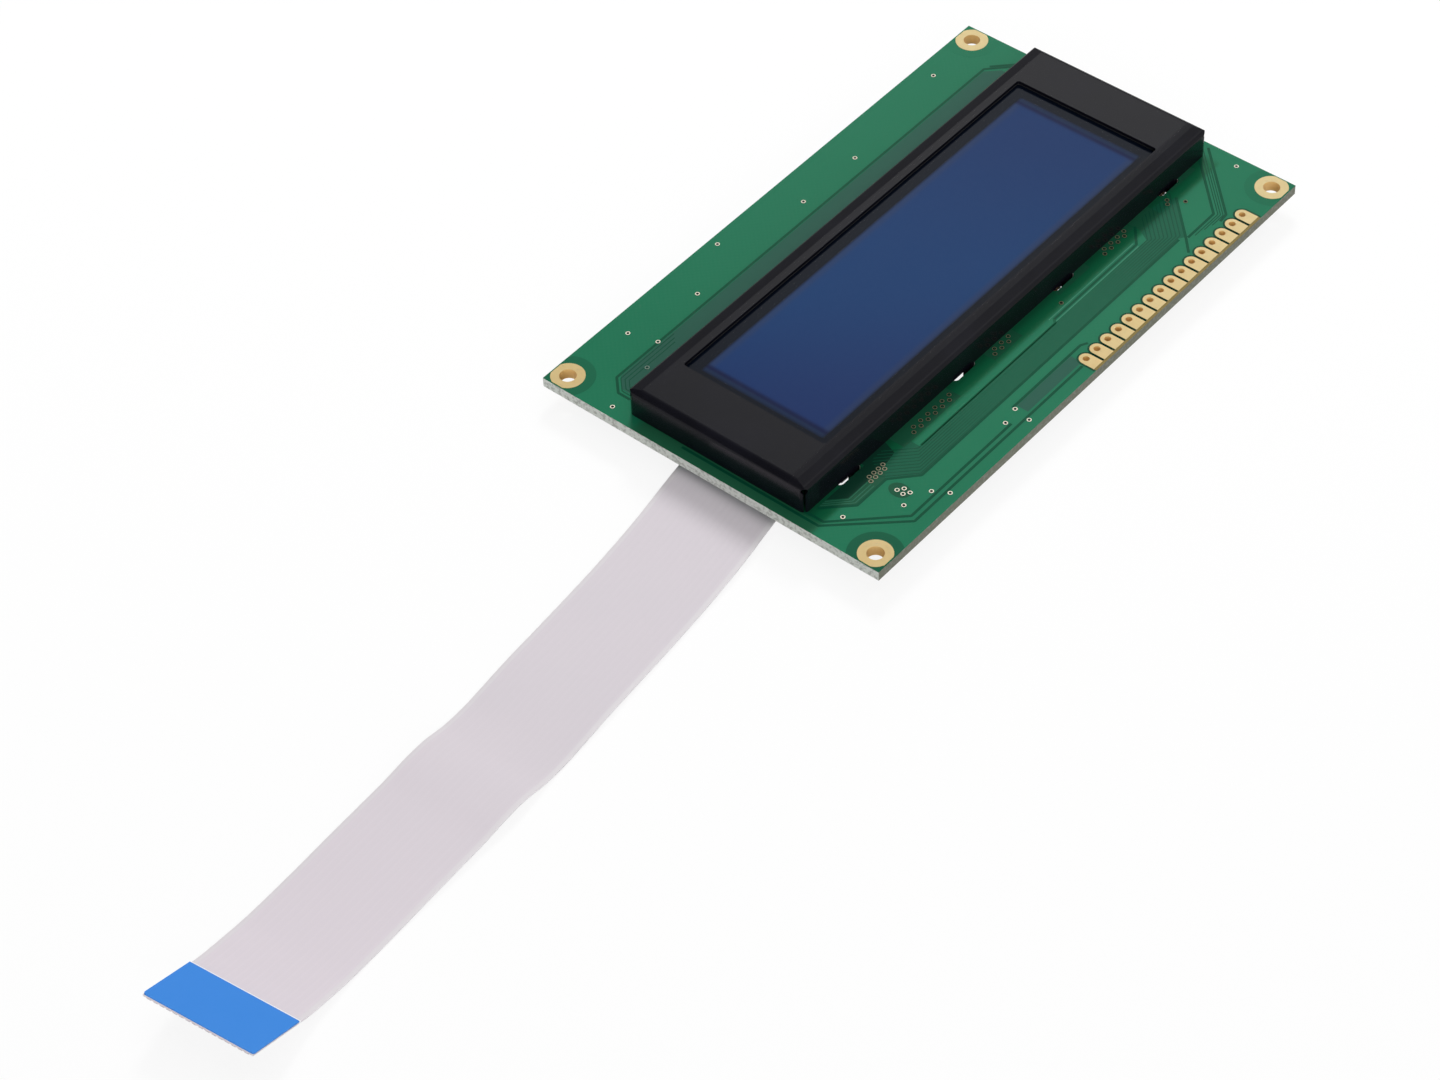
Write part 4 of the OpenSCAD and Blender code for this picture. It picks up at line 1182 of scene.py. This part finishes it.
def rearTracks(s):
    (leftX, leftY, reach), (rightX, rightY, _) = coverRings(s)

    def toRing(offset):  # from the cover's middle line to its ring
        return math.sqrt(reach ** 2 - offset ** 2)

    chains = []
    leave, approach = s["socketRun"]
    feet = sorted(footBoxes("socket_springs", s), key=lambda box: box[2])
    for i, (_, x1, y0, y1) in enumerate(feet):
        y = (y0 + y1) / 2
        offset = s["socketStep"] * (i - (len(feet) - 1) / 2)
        goal = leftY + offset
        chains.append([(x1, y), (x1 + leave, y), (leftX - reach - approach, goal), (leftX - toRing(offset), goal)])
    for i in range(s["betweenCovers"]):
        offset = s["coverStep"] * (i - (s["betweenCovers"] - 1) / 2)
        chains.append([(leftX + toRing(offset), leftY + offset), (rightX - toRing(offset), leftY + offset)])
    pads = padPlaces()
    for k, (x, y) in enumerate(reversed(pads[-s["padsToCover"]:])):
        offset = s["padGoal"] - s["coverStep"] * k
        goal, turn = rightX + offset, spread(s["padTurn"], k)
        chains.append([(x, y), (x, turn), (goal, turn), (goal, rightY - toRing(offset))])
    row = sorted(box for box in footBoxes("chip_resistors", s) if box[3] < s["resistorRow"])
    rise, enter, leave = s["resistorRun"]
    for (x, y), (x0, x1, y0, y1) in zip(pads[s["resistorPad"]:], row):
        middle = (x0 + x1) / 2
        chains.append([(x, y), (x, y + rise), (middle, y0 - enter), (middle, y0)])
        chains.append([(middle, y1), (middle, y1 + leave)])
    return chains


def inkLines(s):
    chains = []
    for name, past in s["framed"]:
        low, high = boxOf(name)
        x0, x1 = max(low.x - past, boardLow.x + s["frameInset"]), high.x + past
        y0, y1 = low.y - past, high.y + past
        chains.append([(x0, y0), (x1, y0), (x1, y1), (x0, y1), (x0, y0)])
    chains += [arcPoints((x, y), (reach, reach), s["coverSteps"]) for x, y, reach in coverRings(s)]
    pads = padPlaces()
    past, down = s["headerFrame"]
    x0, x1, y = pads[0][0] - past, pads[-1][0] + past, pads[0][1]
    chains.append([(x0, y - down), (x0, y + past), (x1, y + past), (x1, y - down)])
    return chains


def dressRear(s):
    dots("rearSolder", solderMounds(s), plain["tinnedMetal"])
    strips("viaShadeRings", onBoard(viaShadeRings(viaSet)), viaSet["mouthWidth"], boxOf("via_plating")[1].z,
           maskFinish("viaShadeRing", viaSet["wall"], viaSet["wall"]), bend=0.0, rise=viaSet["mouthRise"])
    under, trackFinish = boardLow.z - s["lineDrop"], maskFinish("maskTrack", *s["track"])
    strips("rearTracks", onBoard(rearTracks(s)), s["trackWidth"], under, trackFinish)
    strips("rearPower", onBoard(powerLines), s["powerWidth"], under, trackFinish)
    strips("rearInk", onBoard(inkLines(s)), s["inkWidth"], boardLow.z - s["inkDrop"],
           maskFinish("whiteInk", *s["ink"]), bend=0.0)


dressRear(rearSet)
print("rear dressed")
